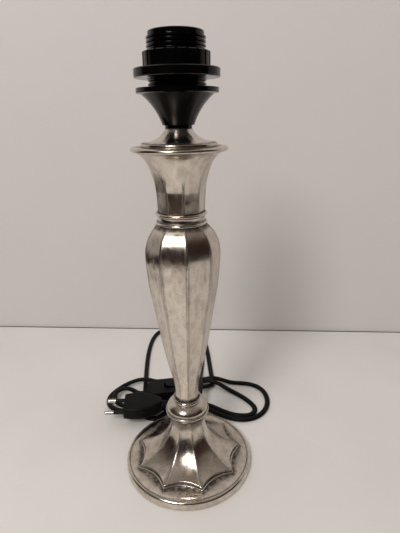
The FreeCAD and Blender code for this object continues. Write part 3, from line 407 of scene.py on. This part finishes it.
# %% [markdown]
# The rest of the cord is put away in two loose turns, folded long and narrow behind the base. From the
# switch it runs round the left end of the inner turn, then round the outer one, and a last loop behind
# the stem brings it back over the top to the plug. One spline carries all of it, so that it stays smooth.

# %% From the switch through the two turns to the plug
link_points = [
    (-0.0433, 0.09008, 0.007), (-0.05125, 0.08924, 0.007), (-0.0562, 0.0914, 0.007), (-0.0612, 0.0966, 0.007),
    (-0.0676, 0.0998, 0.007), (-0.0744, 0.0986, 0.0068), (-0.079, 0.0934, 0.0066), (-0.08, 0.0864, 0.0064),
    (-0.0765, 0.0766, 0.0064), (-0.0685, 0.0694, 0.0068), (-0.057, 0.066, 0.0072), (-0.044, 0.066, 0.0072)]
hank_points = [
    (-0.03, 0.0676, 0.0072), (-0.016, 0.0688, 0.0072), (-0.002, 0.0691, 0.0076), (0.0125, 0.0686, 0.0075),
    (0.025, 0.0657, 0.0048), (0.0365, 0.06, 0.0022), (0.0485, 0.0528, 0.0018), (0.0618, 0.0509, 0.0018),
    (0.0682, 0.0534, 0.0018), (0.0719, 0.059, 0.0018), (0.0714, 0.0662, 0.0018), (0.0668, 0.075, 0.0018),
    (0.0605, 0.0834, 0.0018), (0.053, 0.0912, 0.0018), (0.0445, 0.0973, 0.0036), (0.036, 0.1018, 0.0072),
    (0.0275, 0.1049, 0.0094), (0.0195, 0.107, 0.007), (0.0115, 0.1096, 0.0034), (0.002, 0.1116, 0.0019),
    (-0.012, 0.1123, 0.0018), (-0.026, 0.1128, 0.0022), (-0.038, 0.1143, 0.0054), (-0.047, 0.1156, 0.007),
    (-0.056, 0.1156, 0.0068), (-0.068, 0.1125, 0.0044), (-0.079, 0.105, 0.002), (-0.0858, 0.094, 0.002),
    (-0.086, 0.081, 0.0032), (-0.081, 0.0698, 0.0046), (-0.071, 0.0625, 0.006), (-0.058, 0.0598, 0.007),
    (-0.044, 0.06, 0.0072), (-0.03, 0.0613, 0.0072), (-0.016, 0.063, 0.0072), (-0.002, 0.0633, 0.0077),
    (0.012, 0.0628, 0.0077), (0.024, 0.0598, 0.0046), (0.035, 0.054, 0.002), (0.046, 0.0478, 0.0018),
    (0.0585, 0.0445, 0.0018), (0.0715, 0.048, 0.0018), (0.082, 0.0575, 0.0018), (0.0878, 0.071, 0.0018),
    (0.0882, 0.086, 0.0018), (0.0835, 0.0978, 0.0018), (0.074, 0.1052, 0.0018), (0.062, 0.108, 0.0018),
    (0.051, 0.1093, 0.0022), (0.041, 0.1113, 0.0052), (0.0308, 0.1128, 0.0076), (0.0205, 0.1138, 0.005),
    (0.0095, 0.1165, 0.002), (0.0005, 0.124, 0.0018), (-0.004, 0.138, 0.0018)]
tail_points = [
    (-0.005, 0.16, 0.0018), (-0.005, 0.18, 0.0018), (-0.0039, 0.193, 0.0018), (0.0006, 0.2006, 0.0018),
    (0.0082, 0.2034, 0.0018), (0.0159, 0.2006, 0.0018), (0.0204, 0.193, 0.0018), (0.0214, 0.18, 0.0018),
    (0.0208, 0.157, 0.0018), (0.0182, 0.136, 0.0019), (0.0163, 0.1225, 0.0046), (0.0156, 0.112, 0.0093),
    (0.0159, 0.1025, 0.0126), (0.0162, 0.0915, 0.015), (0.0145, 0.08, 0.0162), (0.0136, 0.069, 0.0167),
    (0.01, 0.0606, 0.0165), (0.002, 0.057, 0.016), (-0.0065, 0.057, 0.016)]
mains_line = spline_object("mains_line", link_points + hank_points + tail_points)
mains_path = points_of(mains_line)
cord_mains = grown(mains_line, sweep, "cord_mains_jacket", {
    "Width": CORD_WIDTH * MM, "Thickness": CORD_THICK * MM, "Material": cord_pvc})
print("mains:", len(mains_path), "points,", len(cord_mains.data.polygons), "faces")


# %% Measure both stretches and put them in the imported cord's place
def length_of(path):
    return sum((b - a).length for a, b in zip(path, path[1:]))


lead_length, mains_length = length_of(lead_path), length_of(mains_path)
print(f"cord: lead {lead_length:.3f} m, from switch to plug {mains_length:.3f} m")
for cord in (cord_lead, cord_mains):
    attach(cord, "lamp")
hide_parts("cord_lead")
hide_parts("cord_link", "cord_hank", "cord_tail")

# %% [markdown]
# ## Finishes for the other pieces
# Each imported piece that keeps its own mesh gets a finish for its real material. Bare metals share one
# function: duller blotches, as fingers and air leave them, over the fine marks of casting or drawing.


# %% A bare metal
def metal(name, hexcode, roughness, darker, grain_mm, depth_mm):
    """A bare metal: its colour with duller blotches, and a fine uneven surface."""
    material, tree, out = new_material(name)
    where = add(tree, "ShaderNodeTexCoord").outputs["Object"]
    broad = noise(tree, where, 9, detail=3)
    fine = noise(tree, where, grain_mm, detail=2)
    body = blend_colours(tree, spread(tree, broad, 0.4, 0.8, 0, 0.5), colour(hexcode), colour(darker))
    bump = add(tree, "ShaderNodeBump", {"Height": fine, "Distance": depth_mm * MM, "Strength": 0.5})
    shader = add(tree, "ShaderNodeBsdfPrincipled", {
        "Base Color": body, "Metallic": 1.0, "Normal": bump.outputs[0],
        "Roughness": spread(tree, broad, 0.3, 0.7, roughness, roughness + 0.1)})
    tree.links.new(shader.outputs[0], out.inputs[0])
    return material


# %% [markdown]
# Worn silver plate has several layers. The cast brass under it is never quite flat, so what it mirrors
# bends in soft waves. Fine pits and dark specks gather low down, warm stains lie between, and black
# oxide stays where a polishing cloth can't reach. The same darkening also paints the shade that falls
# into those corners, and a fine painted dark line beside each ridge. Noise alone couldn't know where
# all that is, so the castings tell the finish point by point, through a point attribute.

# %% Silver plate
def silver_plate(name, tint="#D9D1C6"):
    """Worn silver plate on cast brass: soft waves, fine pits, warm stains, oxide and painted shade in its
    recesses.
    """
    material, tree, out = new_material(name)
    where = add(tree, "ShaderNodeTexCoord").outputs["Object"]
    waves = noise(tree, where, 11, detail=1)
    stains = noise(tree, where, 5, detail=4, roughness=0.6, stretch=(1, 1, 0.45))
    pits = noise(tree, where, 0.8, detail=3, roughness=0.7)
    worn = blend_colours(tree, spread(tree, stains, 0.42, 0.72, 0, 0.6), colour(tint), colour("#A39582"))
    low_down = add(tree, "ShaderNodeSeparateXYZ", {0: where}).outputs["Z"]
    pitted = spread(tree, low_down, 0.24, 0.12, 0.25, 0.9)
    specks = add(tree, "ShaderNodeMath", {0: spread(tree, pits, 0.6, 0.7), 1: pitted}, operation="MULTIPLY")
    body = blend_colours(tree, specks.outputs[0], worn, colour("#4C4238"))
    # The attribute carries oxide in the hollows, painted shade in the corners and a painted dark line beside
    # each ridge.
    oxide_and_shade = add(tree, "ShaderNodeAttribute", attribute_name="oxide_and_shade").outputs["Fac"]
    patchy = spread(tree, noise(tree, where, 3.0, detail=3), 0.3, 0.6, 0.55, 1.0)
    tarnish_and_shade = add(tree, "ShaderNodeMath", {0: oxide_and_shade, 1: patchy}, operation="MULTIPLY").outputs[0]
    body = blend_colours(tree, tarnish_and_shade, body, colour("#231E19"))
    soft = add(tree, "ShaderNodeBump", {"Height": waves, "Distance": 0.7 * MM, "Strength": 0.45})
    rough_skin = add(tree, "ShaderNodeBump", {"Height": pits, "Distance": 0.04 * MM, "Strength": 0.6,
                                              "Normal": soft.outputs[0]})
    polish = spread(tree, stains, 0.35, 0.75, 0.15, 0.3)
    rough = add(tree, "ShaderNodeMath", {0: tarnish_and_shade, 1: 0.4, 2: polish}, operation="MULTIPLY_ADD").outputs[0]
    shader = add(tree, "ShaderNodeBsdfPrincipled", {
        "Base Color": body, "Metallic": 1.0, "Normal": rough_skin.outputs[0], "Roughness": rough})
    tree.links.new(shader.outputs[0], out.inputs[0])
    return material


silver = silver_plate("silver_plate_worn")
print("silver plate:", len(silver.node_tree.nodes), "nodes")

# %% [markdown]
# The pieces inside hardly show, but each still gets the material that a maker would use.

# %% Mix the finishes inside
# Raw cast iron is dark, rough and dull.
cast_iron = metal("cast_iron_raw", "#4A4744", 0.6, "#2E2B29", 0.8, 0.1)
# Zinc-plated steel is bright with a cold grey cast.
steel = metal("steel_zinc_plated", "#B9BBBD", 0.28, "#8E8F90", 0.4, 0.02)
# Drawn brass is smooth and yellow, and dulls in patches.
brass = metal("brass_drawn", "#D9B36A", 0.25, "#A8813F", 0.5, 0.02)
# Nickel plate is bright with a faint warm tone.
pin_nickel = metal("brass_pins_nickel_plated", "#C9C6C0", 0.22, "#9A968F", 0.4, 0.01)
# The core's phenolic is filled, so it is brown-black and matt.
core_resin = moulded("phenolic_core_matt", "#1A1512", 0.4, 0.7, 0.03, lighter="#2C2420")
# Felt has no shine at all.
felt = moulded("felt_dark_green", "#1E2A22", 0.95, 0.5, 0.2, lighter="#33443A")
# Pressed fibreboard is brown and dry.
board = moulded("fibreboard_brown", "#7A5D41", 0.85, 0.6, 0.1, lighter="#977550")
# Undyed polyamide is milky, with a soft shine.
nylon = moulded("polyamide_natural", "#D8D4C6", 0.45, 0.8, 0.02, lighter="#E8E5DA")
# Rubber is matt and never quite black.
gland_rubber = moulded("rubber_gland_black", "#121212", 0.6, 0.7, 0.03, lighter="#222222")
# The two cores' PVC is coloured through and half matt.
wire_brown = moulded("pvc_wire_brown", "#5E3A22", 0.4, 0.6, 0.02, lighter="#7A4E30")
wire_blue = moulded("pvc_wire_blue", "#2E5FA8", 0.4, 0.6, 0.02, lighter="#4474BC")
print("materials mixed:", len(bpy.data.materials))

# %% Hand the finishes out
FINISHES = {
    phenolic: ["holder_cone", "holder_barrel", "shade_ring"],
    core_resin: ["holder_core", "plug_insert"],
    cast_iron: ["base_weight"], board: ["base_cover"], felt: ["felt_pad"], nylon: ["cord_anchor"],
    gland_rubber: ["cord_gland"], wire_brown: ["live_wire"], wire_blue: ["neutral_wire"],
    cord_pvc: ["inner_lead", "switch_tail_left", "switch_tail_right"],
    steel: ["threaded_rod", "bottom_washer", "bottom_nut", "terminal_screws", "switch_screws", "rocker_pin"],
    brass: ["screw_shell", "centre_contact", "side_contact", "terminal_blocks", "switch_terminals",
            "switch_link_bar"],
    switch_abs: ["switch_lower_case", "switch_upper_case", "switch_rocker"],
    plug_pvc: ["plug_body"], pin_nickel: ["plug_pins"], sleeve_nylon: ["plug_sleeves"]}
for finish, names in FINISHES.items():
    for name in names:
        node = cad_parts[name]
        if not node.material_slots:
            node.data.materials.append(finish)
        for place in node.material_slots:
            place.material = finish
print("finishes on", sum(len(names) for names in FINISHES.values()), "packed pieces")

# %% [markdown]
# ## The silver-plated castings
# The base, the baluster and the cup are cast in brass, filed, polished and plated. All three repeat one
# panel nine times round the stem. They could be cut from solids with booleans, but then each ridge
# would need its own bevel, so each is built as a single sector of 40 degrees: a closed loop of rows of
# points. Geometry Nodes turn the copies into place, join them along their edges and smooth them. The
# turned pieces use the same tree with 96 narrow sectors.

# %% A tree that turns copies of one sector round the stem
turn_copies, given, result = new_group("turn_copies", [("Count", "Int", 9), ("Turn", "Float", 0.0),
                                                       ("Material", "Material", None)])
places = add(turn_copies, "GeometryNodeMeshLine", {"Count": given.outputs["Count"], "Offset": (0, 0, 0)})
step = add(turn_copies, "ShaderNodeMath", {0: 2 * math.pi, 1: given.outputs["Count"]}, operation="DIVIDE")
nth = add(turn_copies, "GeometryNodeInputIndex")
angle = add(turn_copies, "ShaderNodeMath", {0: nth.outputs[0], 1: step.outputs[0], 2: given.outputs["Turn"]},
            operation="MULTIPLY_ADD")
spin = add(turn_copies, "ShaderNodeCombineXYZ", {"Z": angle.outputs[0]})
spun = add(turn_copies, "GeometryNodeInstanceOnPoints", {
    "Points": places.outputs[0], "Instance": given.outputs["Geometry"], "Rotation": spin.outputs[0]})
real = add(turn_copies, "GeometryNodeRealizeInstances", {0: spun.outputs[0]})
joined = add(turn_copies, "GeometryNodeMergeByDistance", {"Geometry": real.outputs[0], "Distance": 2e-6})
smooth = add(turn_copies, "GeometryNodeSetShadeSmooth", {0: joined.outputs[0]})
painted = add(turn_copies, "GeometryNodeSetMaterial", {0: smooth.outputs[0],
                                                       "Material": given.outputs["Material"]})
turn_copies.links.new(painted.outputs[0], result.inputs[0])
print("turner:", [item.name for item in turn_copies.interface.items_tree])

# %% One sector turned into a whole piece
ROD_HOLE = 5.15             # radius of the hole for the threaded rod, in millimetres


def turned_up(name, rows, dark, copies, turn, node):
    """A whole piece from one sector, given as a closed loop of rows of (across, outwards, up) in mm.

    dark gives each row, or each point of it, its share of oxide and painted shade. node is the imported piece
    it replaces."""
    wide = len(rows[0])
    vertices = [(x * MM, -y * MM, z * MM) for row in rows for x, y, z in row]
    faces = []
    for i in range(len(rows)):
        here, below = i * wide, (i + 1) % len(rows) * wide
        faces += [(here + j, here + j + 1, below + j + 1, below + j) for j in range(wide - 1)]
    mesh = bpy.data.meshes.new(name + "_sector")
    mesh.from_pydata(vertices, [], faces)
    shares = np.zeros((len(rows), wide))
    for i, share in enumerate(dark):
        shares[i] = share
    mesh.attributes.new("oxide_and_shade", "FLOAT", "POINT").data.foreach_set("value", shares.ravel())
    sector = bpy.data.objects.new(name + "_sector", mesh)
    bpy.context.scene.collection.objects.link(sector)
    piece = grown(sector, turn_copies, name, {
        "Count": copies, "Turn": math.radians(turn), "Material": silver})
    work = bmesh.new()
    work.from_mesh(piece.data)
    bmesh.ops.recalc_face_normals(work, faces=work.faces)
    work.to_mesh(piece.data)
    work.free()
    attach(piece, "lamp")
    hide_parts(node)
    print(name, len(piece.data.polygons), "faces")


# %% A smooth curve through given points
def natural_spline(points, count):
    """count + 1 points of the smooth curve y(x) through the given ones."""
    x, y = np.array(points, float).T
    h = np.diff(x)
    system, right = np.eye(len(x)), np.zeros(len(x))
    for i in range(1, len(x) - 1):
        system[i, i - 1:i + 2] = h[i - 1], 2 * (h[i - 1] + h[i]), h[i]
        right[i] = 6 * ((y[i + 1] - y[i]) / h[i] - (y[i] - y[i - 1]) / h[i - 1])
    bend = np.linalg.solve(system, right)
    out = []
    for v in np.linspace(x[0], x[-1], count + 1):
        i = min(max(int(np.searchsorted(x, v)) - 1, 0), len(h) - 1)
        a, b = (x[i + 1] - v) / h[i], (v - x[i]) / h[i]
        bent = ((a ** 3 - a) * bend[i] + (b ** 3 - b) * bend[i + 1]) * h[i] ** 2 / 6
        out.append((v, a * y[i] + b * y[i + 1] + bent))
    return out


# %% [markdown]
# A panel runs from ridge to ridge, and each ridge is rounded over a narrow strip. The points lie close
# together there and far apart on the flat, so that the rounding is smooth and the mesh stays light.

# %% One row of points across a panel
PANELS = 9
PANEL_HALF = math.pi / PANELS               # half of a panel's angle
HALF_PANEL_DEGREES = 180 / PANELS
RIDGE = 0.09                # share of half a panel that its rounded ridge takes up
SHARES = [-1, -0.97, -0.94, -0.91, -0.75, -0.5, -0.25, 0, 0.25, 0.5, 0.75, 0.91, 0.94, 0.97, 1]
# A fine line of painted shade lies beside a ridge: its share at each of the points above.
SHADE_BESIDE_RIDGE = np.interp(np.abs(SHARES), [0.75, 0.91, 0.94, 0.97, 1.0], [0.0, 0.35, 0.6, 0.1, 0.0])


def panel_point(r, share, bulge):
    """(across, outwards) on a panel with ridges at radius r, whose middle stands bulge over the flat."""
    half = r * math.sin(PANEL_HALF)
    crease = (math.tan(PANEL_HALF) - 2 * bulge / half) / (2 * RIDGE)
    drop = crease * half * max(0, abs(share) - (1 - RIDGE)) ** 2
    return share * half, r * math.cos(PANEL_HALF) + bulge * (1 - share ** 2) - drop


def panel_row(r, z):
    """A flat panel's row of points at height z."""
    return [(*panel_point(r, share, 0.0), z) for share in SHARES]


def circle_row(r, z, half_angle, count):
    """A row of points along an arc about the stem's axis."""
    return [(r * math.sin(a), r * math.cos(a), z) for a in np.linspace(-half_angle, half_angle, count)]


# %% [markdown]
# The baluster widens slowly from its foot to a shoulder just under the collar. Its ridges are filed
# crisp and then softened by the polishing wheel, so each has a narrow rounding. A smooth curve through
# fourteen radii read from the photograph gives its outline.

# %% The baluster
STEM_Z, STEM_HEIGHT = 68.7, 153.4
STEM_TURN = 6.0             # a ridge stands this many degrees round from the front
STEM_ROWS = 90
CORNER_OXIDE_AND_SHADE = 0.85         # share of oxide and painted shade in the corners at both ends
# Each point is a share of the height and the ridges' radius there.
stem_shape = [(0.0, 10.6), (0.025, 10.1), (0.16, 12.7), (0.32, 18.1), (0.475, 21.9), (0.6, 25.1),
              (0.68, 27.1), (0.745, 28.1), (0.81, 28.8), (0.86, 29.0), (0.9, 28.2), (0.937, 26.3),
              (0.97, 23.2), (1.0, 18.8)]
stem_rows = [panel_row(r, STEM_Z + up * STEM_HEIGHT) for up, r in natural_spline(stem_shape, STEM_ROWS)]
stem_ends = (0, 1, STEM_ROWS - 1, STEM_ROWS)
stem_dark = [CORNER_OXIDE_AND_SHADE if i in stem_ends else SHADE_BESIDE_RIDGE for i in range(STEM_ROWS + 1)]
for z in (STEM_Z + STEM_HEIGHT, STEM_Z):
    stem_rows.append([(ROD_HOLE * math.sin(s * PANEL_HALF), ROD_HOLE * math.cos(s * PANEL_HALF), z)
                      for s in SHARES])
turned_up("stem_baluster", stem_rows, stem_dark, PANELS, STEM_TURN + HALF_PANEL_DEGREES, "stem_casting")

# %% [markdown]
# The base's nine panels flare down like a trumpet to a scalloped edge, with a small step moulded under
# it. The plate round it is smooth, with a scribed groove and a rounded rim. On the real casting the
# scallop is where two surfaces meet, so it is found the same way: for each line down a panel, a search
# finds the radius at which the line reaches the edge.

# %% The base's flare and its scalloped edge
STAR_R, STAR_Z = 45.5, 11.2         # the star's nine points: their radius and height
SCALLOP = 4.6                       # how far each edge bows in between two points
HOLLOW = 0.045                      # how far a panel is dished, as a share of its radius
NECK_Z = 50.0                       # top of the base
# Each point is a share of the height from the points to the neck and a share of STAR_R.
star_shape = [(-0.16, 1.22), (0.0, 1.0), (0.09, 0.832), (0.2, 0.667), (0.34, 0.53), (0.52, 0.418),
              (0.74, 0.343), (1.0, 0.3143)]
star_curve = natural_spline(star_shape, 200)
star_r = np.array([r * STAR_R for up, r in star_curve])[::-1]
star_z = np.array([STAR_Z + up * (NECK_Z - STAR_Z) for up, r in star_curve])[::-1]


def edge_radius(share):
    """The ridge radius at which the panel, at this share of its width, reaches the scalloped edge."""
    low, high = 30.0, 55.0
    for _ in range(40):
        r = (low + high) / 2
        inside = r * (math.cos(PANEL_HALF) - HOLLOW * (1 - share ** 2))
        edge = STAR_R * math.cos(PANEL_HALF) - SCALLOP * (1 - (share * r / STAR_R) ** 2)
        low, high = (r, high) if inside < edge else (low, r)
    return r


edge_rs = [edge_radius(share) for share in SHARES]
print(f"scalloped edge: ridge radii {min(edge_rs):.1f} to {max(edge_rs):.1f} mm")

# %% [markdown]
# Now the rows, from the neck outwards, down over the edge and its step, across the plate, round the rim
# and back up inside. Each row brings its own share of oxide and painted shade: most in the corner under
# the knop, under the scalloped edge and in the scribed groove, with a painted dark line beside each ridge.

# %% The base
BASE_TURN = 12.5            # a point of the star stands this many degrees round from the front
PANEL_ROWS = 48
ROW_SPACING = 1.25          # over 1, the rows stand closer together near the neck
base_rows, base_dark = [], []


def base_row(row, dark=0.0):
    base_rows.append(row)
    base_dark.append(dark)


def pushed(point, out, z):
    """The point moved straight out from the stem's axis, at height z."""
    grow = 1 + out / math.hypot(point[0], point[1])
    return point[0] * grow, point[1] * grow, z


# Oxide and painted shade in the corner under the knop, fading out over three rows; painted dark lines beside
# the ridges below.
under_knop = {0: 0.9, 1: 0.7, 2: 0.5, 3: 0.0}
for k in range(PANEL_ROWS + 1):
    t = (k / PANEL_ROWS) ** ROW_SPACING
    row = []
    for share, edge_r in zip(SHARES, edge_rs):
        r = star_r[0] + (edge_r - star_r[0]) * t
        row.append((*panel_point(r, share, -HOLLOW * r), float(np.interp(r, star_r, star_z))))
    base_row(row, under_knop.get(k, 0.8 * SHADE_BESIDE_RIDGE))
edge = base_rows[-1]
# Under the scalloped edge and at the step's foot the rows carry oxide and painted shade.
for out, drop, dark in ((0.3, 0.12, 0), (0.5, 0.45, 0.2)):
    base_row([pushed(p, out, p[2] - drop) for p in edge], dark)
for out, z, dark in ((0.5, 9.75, 0.85), (0.62, 9.45, 0.95), (0.9, 9.4, 0.7), (1.7, 9.38, 0), (1.95, 9.2, 0),
                     (2.0, 8.9, 0), (2.0, 8.2, 0.3), (2.15, 7.95, 0.95)):
    base_row([pushed(p, out, z) for p in edge], dark)
PLATE_R, PLATE_Z, PLATE_FALL = 52.4, 7.9, 0.45      # the plate's outer radius, inner height and fall
step_foot = base_rows[-1]
# Oxide and painted shade at the step's foot fade out across the plate.
plate_oxide_and_shade = (0.8, 0.2, 0, 0)
for k, dark in enumerate(plate_oxide_and_shade, 1):
    t = k / len(plate_oxide_and_shade)
    base_row([pushed(p, (PLATE_R - math.hypot(p[0], p[1])) * t, PLATE_Z - PLATE_FALL * t) for p in step_foot],
             dark)

# %% The rim, the underside and the finished base
# The scribed groove is darkened with oxide and painted shade.
groove = [(52.6, 7.3, 0.2), (52.95, 7.08, 0.8), (53.3, 7.3, 0.95), (53.45, 7.42, 0.7)]
rim = [(53.9, 7.4), (54.6, 7.15), (55.3, 6.55), (55.75, 5.6), (55.95, 4.4), (56.0, 3.2), (56.0, 1.0),
       (55.85, 0.55), (55.4, 0.32), (53.2, 0.3)]
underside = [(53.0, 0.5), (53.0, 5.8), (38.0, 5.8), (30.0, 14.5), (20.0, 24.0), (12.6, 40.0), (11.5, 47.6),
             (ROD_HOLE, 47.6), (ROD_HOLE, NECK_Z)]
around = [math.atan2(p[0], p[1]) for p in edge]
for r, z, *dark in groove + rim + underside:
    base_row([(r * math.sin(a), r * math.cos(a), z) for a in around], *dark)
turned_up("base_star", base_rows, base_dark, PANELS, BASE_TURN + HALF_PANEL_DEGREES, "base_casting")

# %% [markdown]
# The cup grows out of nine flat facets that end in arches, where the surface turns into a round trumpet
# with a rolled rim. Each point takes the smaller of the round radius and the facet's plane, which gives
# the arches by itself, and the border between the two is softened as polishing softens it.

# %% The cup
CUP_Z, CUP_HEIGHT = 231.1, 46.0
CUP_ROWS, CUP_SAMPLES = 56, 25
FADE_FROM, FADE_OVER = 0.34, 0.36   # where the facets start to fade, and over what share of the height
PAST_ROUND = 1.001                  # a faded facet's plane, as a share of the round radius
BORDER = 0.12                       # millimetres over which a facet's border is softened
# Each point is a share of the height and the round radius there.
cup_shape = [(0.0, 17.5), (0.15, 17.7), (0.33, 18.2), (0.48, 19.2), (0.61, 20.7), (0.72, 22.6), (0.81, 24.9),
             (0.87, 27.2), (0.91, 29.8), (0.932, 32.2)]


def cup_row(up, r):
    """A row of points across one facet, at a share of the cup's height."""
    fade = min(max((up - FADE_FROM) / FADE_OVER, 0), 1)
    flat = r * (math.cos(PANEL_HALF) + (PAST_ROUND - math.cos(PANEL_HALF)) * fade)
    row = []
    for a in np.linspace(-PANEL_HALF, PANEL_HALF, CUP_SAMPLES):
        gap = (r - flat / math.cos(a)) / BORDER
        reach = r - BORDER * float(np.logaddexp(0, gap)) + BORDER * math.log(2) * math.exp(-abs(gap))
        row.append((reach * math.sin(a), reach * math.cos(a), CUP_Z + up * CUP_HEIGHT))
    return row


around_cup = np.abs(np.linspace(-1, 1, CUP_SAMPLES))
# A painted dark line beside each facet's border fades out up the cup; the foot and the lip get oxide and
# painted shade.
shade_beside_facet = np.interp(around_cup, [0.8, 0.92, 1.0], [0, 0.55, 0.1])
foot_and_lip = {0: 0.9, 1: 0.6, CUP_ROWS: 0.5}
cup_rows, cup_dark = [], []
for i, (up, r) in enumerate(natural_spline(cup_shape, CUP_ROWS)):
    cup_rows.append(cup_row(up, r))
    cup_dark.append(foot_and_lip.get(i, shade_beside_facet * (1 - min(max((up - 0.3) / 0.3, 0), 1))))
# Oxide and painted shade where the rim meets the cup and in the corner under the cap.
rolled_rim = [(32.9, 273.95, 0.6), (33.7, 274.3, 0), (34.15, 275.0, 0), (34.2, 275.7, 0), (33.95, 276.4, 0),
              (33.3, 276.95, 0), (32.6, 277.1, 0)]
cup_inside = [(24.2, 277.1, 0.8), (23.9, 276.8, 0.8), (19.6, 265.6, 0), (15.9, 251.8, 0), (14.4, 234.1, 0),
              (ROD_HOLE, 234.1, 0), (ROD_HOLE, CUP_Z, 0)]
for r, z, dark in rolled_rim + cup_inside:
    cup_rows.append(circle_row(r, z, PANEL_HALF, CUP_SAMPLES))
    cup_dark.append(dark)
turned_up("cup_trumpet", cup_rows, cup_dark, PANELS, STEM_TURN + HALF_PANEL_DEGREES, "trumpet_cup")

# %% [markdown]
# The knop, the two rings and the cap are turned on a lathe, so each is half of a section swept right
# round. A Screw modifier could do it too, but the tree above is there already. Each point of a section
# is (radius, height, share of oxide and painted shade), and the share may be left out. The share is
# high in the corners and grooves between the beads.

# %% Sections of the turned pieces
TURNED_COPIES = 96


def bead(r, z, radius, first, last, count=7, starts=(), ends=()):
    """Points of a round bead about (r, z), between two angles in degrees above the level.

    starts and ends are the shares of oxide and painted shade on its first and its last points."""
    dark = [*starts, *[0] * (count - len(starts) - len(ends)), *ends]
    return [(r + radius * math.cos(math.radians(a)), z + radius * math.sin(math.radians(a)), share)
            for a, share in zip(np.linspace(first, last, count), dark)]


SECTIONS = {
    ("knop_turned", "knop"): [
        (ROD_HOLE, 50.0), (14.3, 50.0, 0.9), (14.6, 50.25, 0.8), (14.65, 51.0), (14.9, 52.2), (15.5, 53.2),
        (16.4, 53.9), (17.0, 54.2, 0.6), (17.15, 54.4, 0.9), (17.5, 54.45), (18.3, 54.75), (18.75, 55.4),
        (18.8, 56.1), (18.6, 56.8), (18.15, 57.15, 0.6), (17.8, 57.25, 0.95), (17.72, 57.5, 0.95),
        (17.85, 58.3, 0.5), (17.7, 59.4), (17.2, 60.6), (16.3, 61.9), (15.1, 63.1), (13.6, 64.2),
        (12.3, 64.95), (11.6, 65.3), (ROD_HOLE, 65.3)],
    ("neck_bead", "neck_ring"): [
        (ROD_HOLE, 65.3), *bead(10.6, 67.0, 1.7, -90, 90, 11, starts=(0.9, 0.7), ends=(0.7, 0.9)),
        (ROD_HOLE, 68.7)],
    ("collar_turned", "collar_ring"): [
        (ROD_HOLE, 222.1), *bead(17.9, 223.2, 1.1, -90, 80, starts=(0.9, 0.5), ends=(0.7,)),
        (17.75, 224.6, 0.9), (17.55, 225.4, 0.5), (17.5, 226.6), (17.55, 227.8), (17.75, 228.6, 0.6),
        *bead(17.9, 230.0, 1.1, -80, 90, starts=(0.9,), ends=(0.6,)), (ROD_HOLE, 231.1)],
    ("cap_turned", "dome_cap"): [
        (23.0, 277.1, 0.8), (26.3, 277.1, 0.7), (26.7, 277.25), (26.8, 277.6), (26.8, 278.9), (26.65, 279.3),
        (26.3, 279.5, 0.5), (25.5, 279.55, 0.9), (25.2, 279.7, 0.9), (23.6, 279.95, 0.3), (21.0, 280.5),
        (18.2, 281.35), (15.6, 282.5), (13.5, 283.8), (11.8, 285.4), (10.6, 286.9), (9.8, 288.2),
        (9.35, 288.85, 0.5), (9.0, 289.1, 0.8), (ROD_HOLE, 289.1), (ROD_HOLE, 286.0), (12.0, 281.9),
        (22.6, 277.7)]}

# %% Turn them
for (name, node), section in SECTIONS.items():
    rows = [circle_row(r, z, math.pi / TURNED_COPIES, 2) for r, z, *_ in section]
    turned_up(name, rows, [sum(share) for _, _, *share in section], TURNED_COPIES, 0, node)
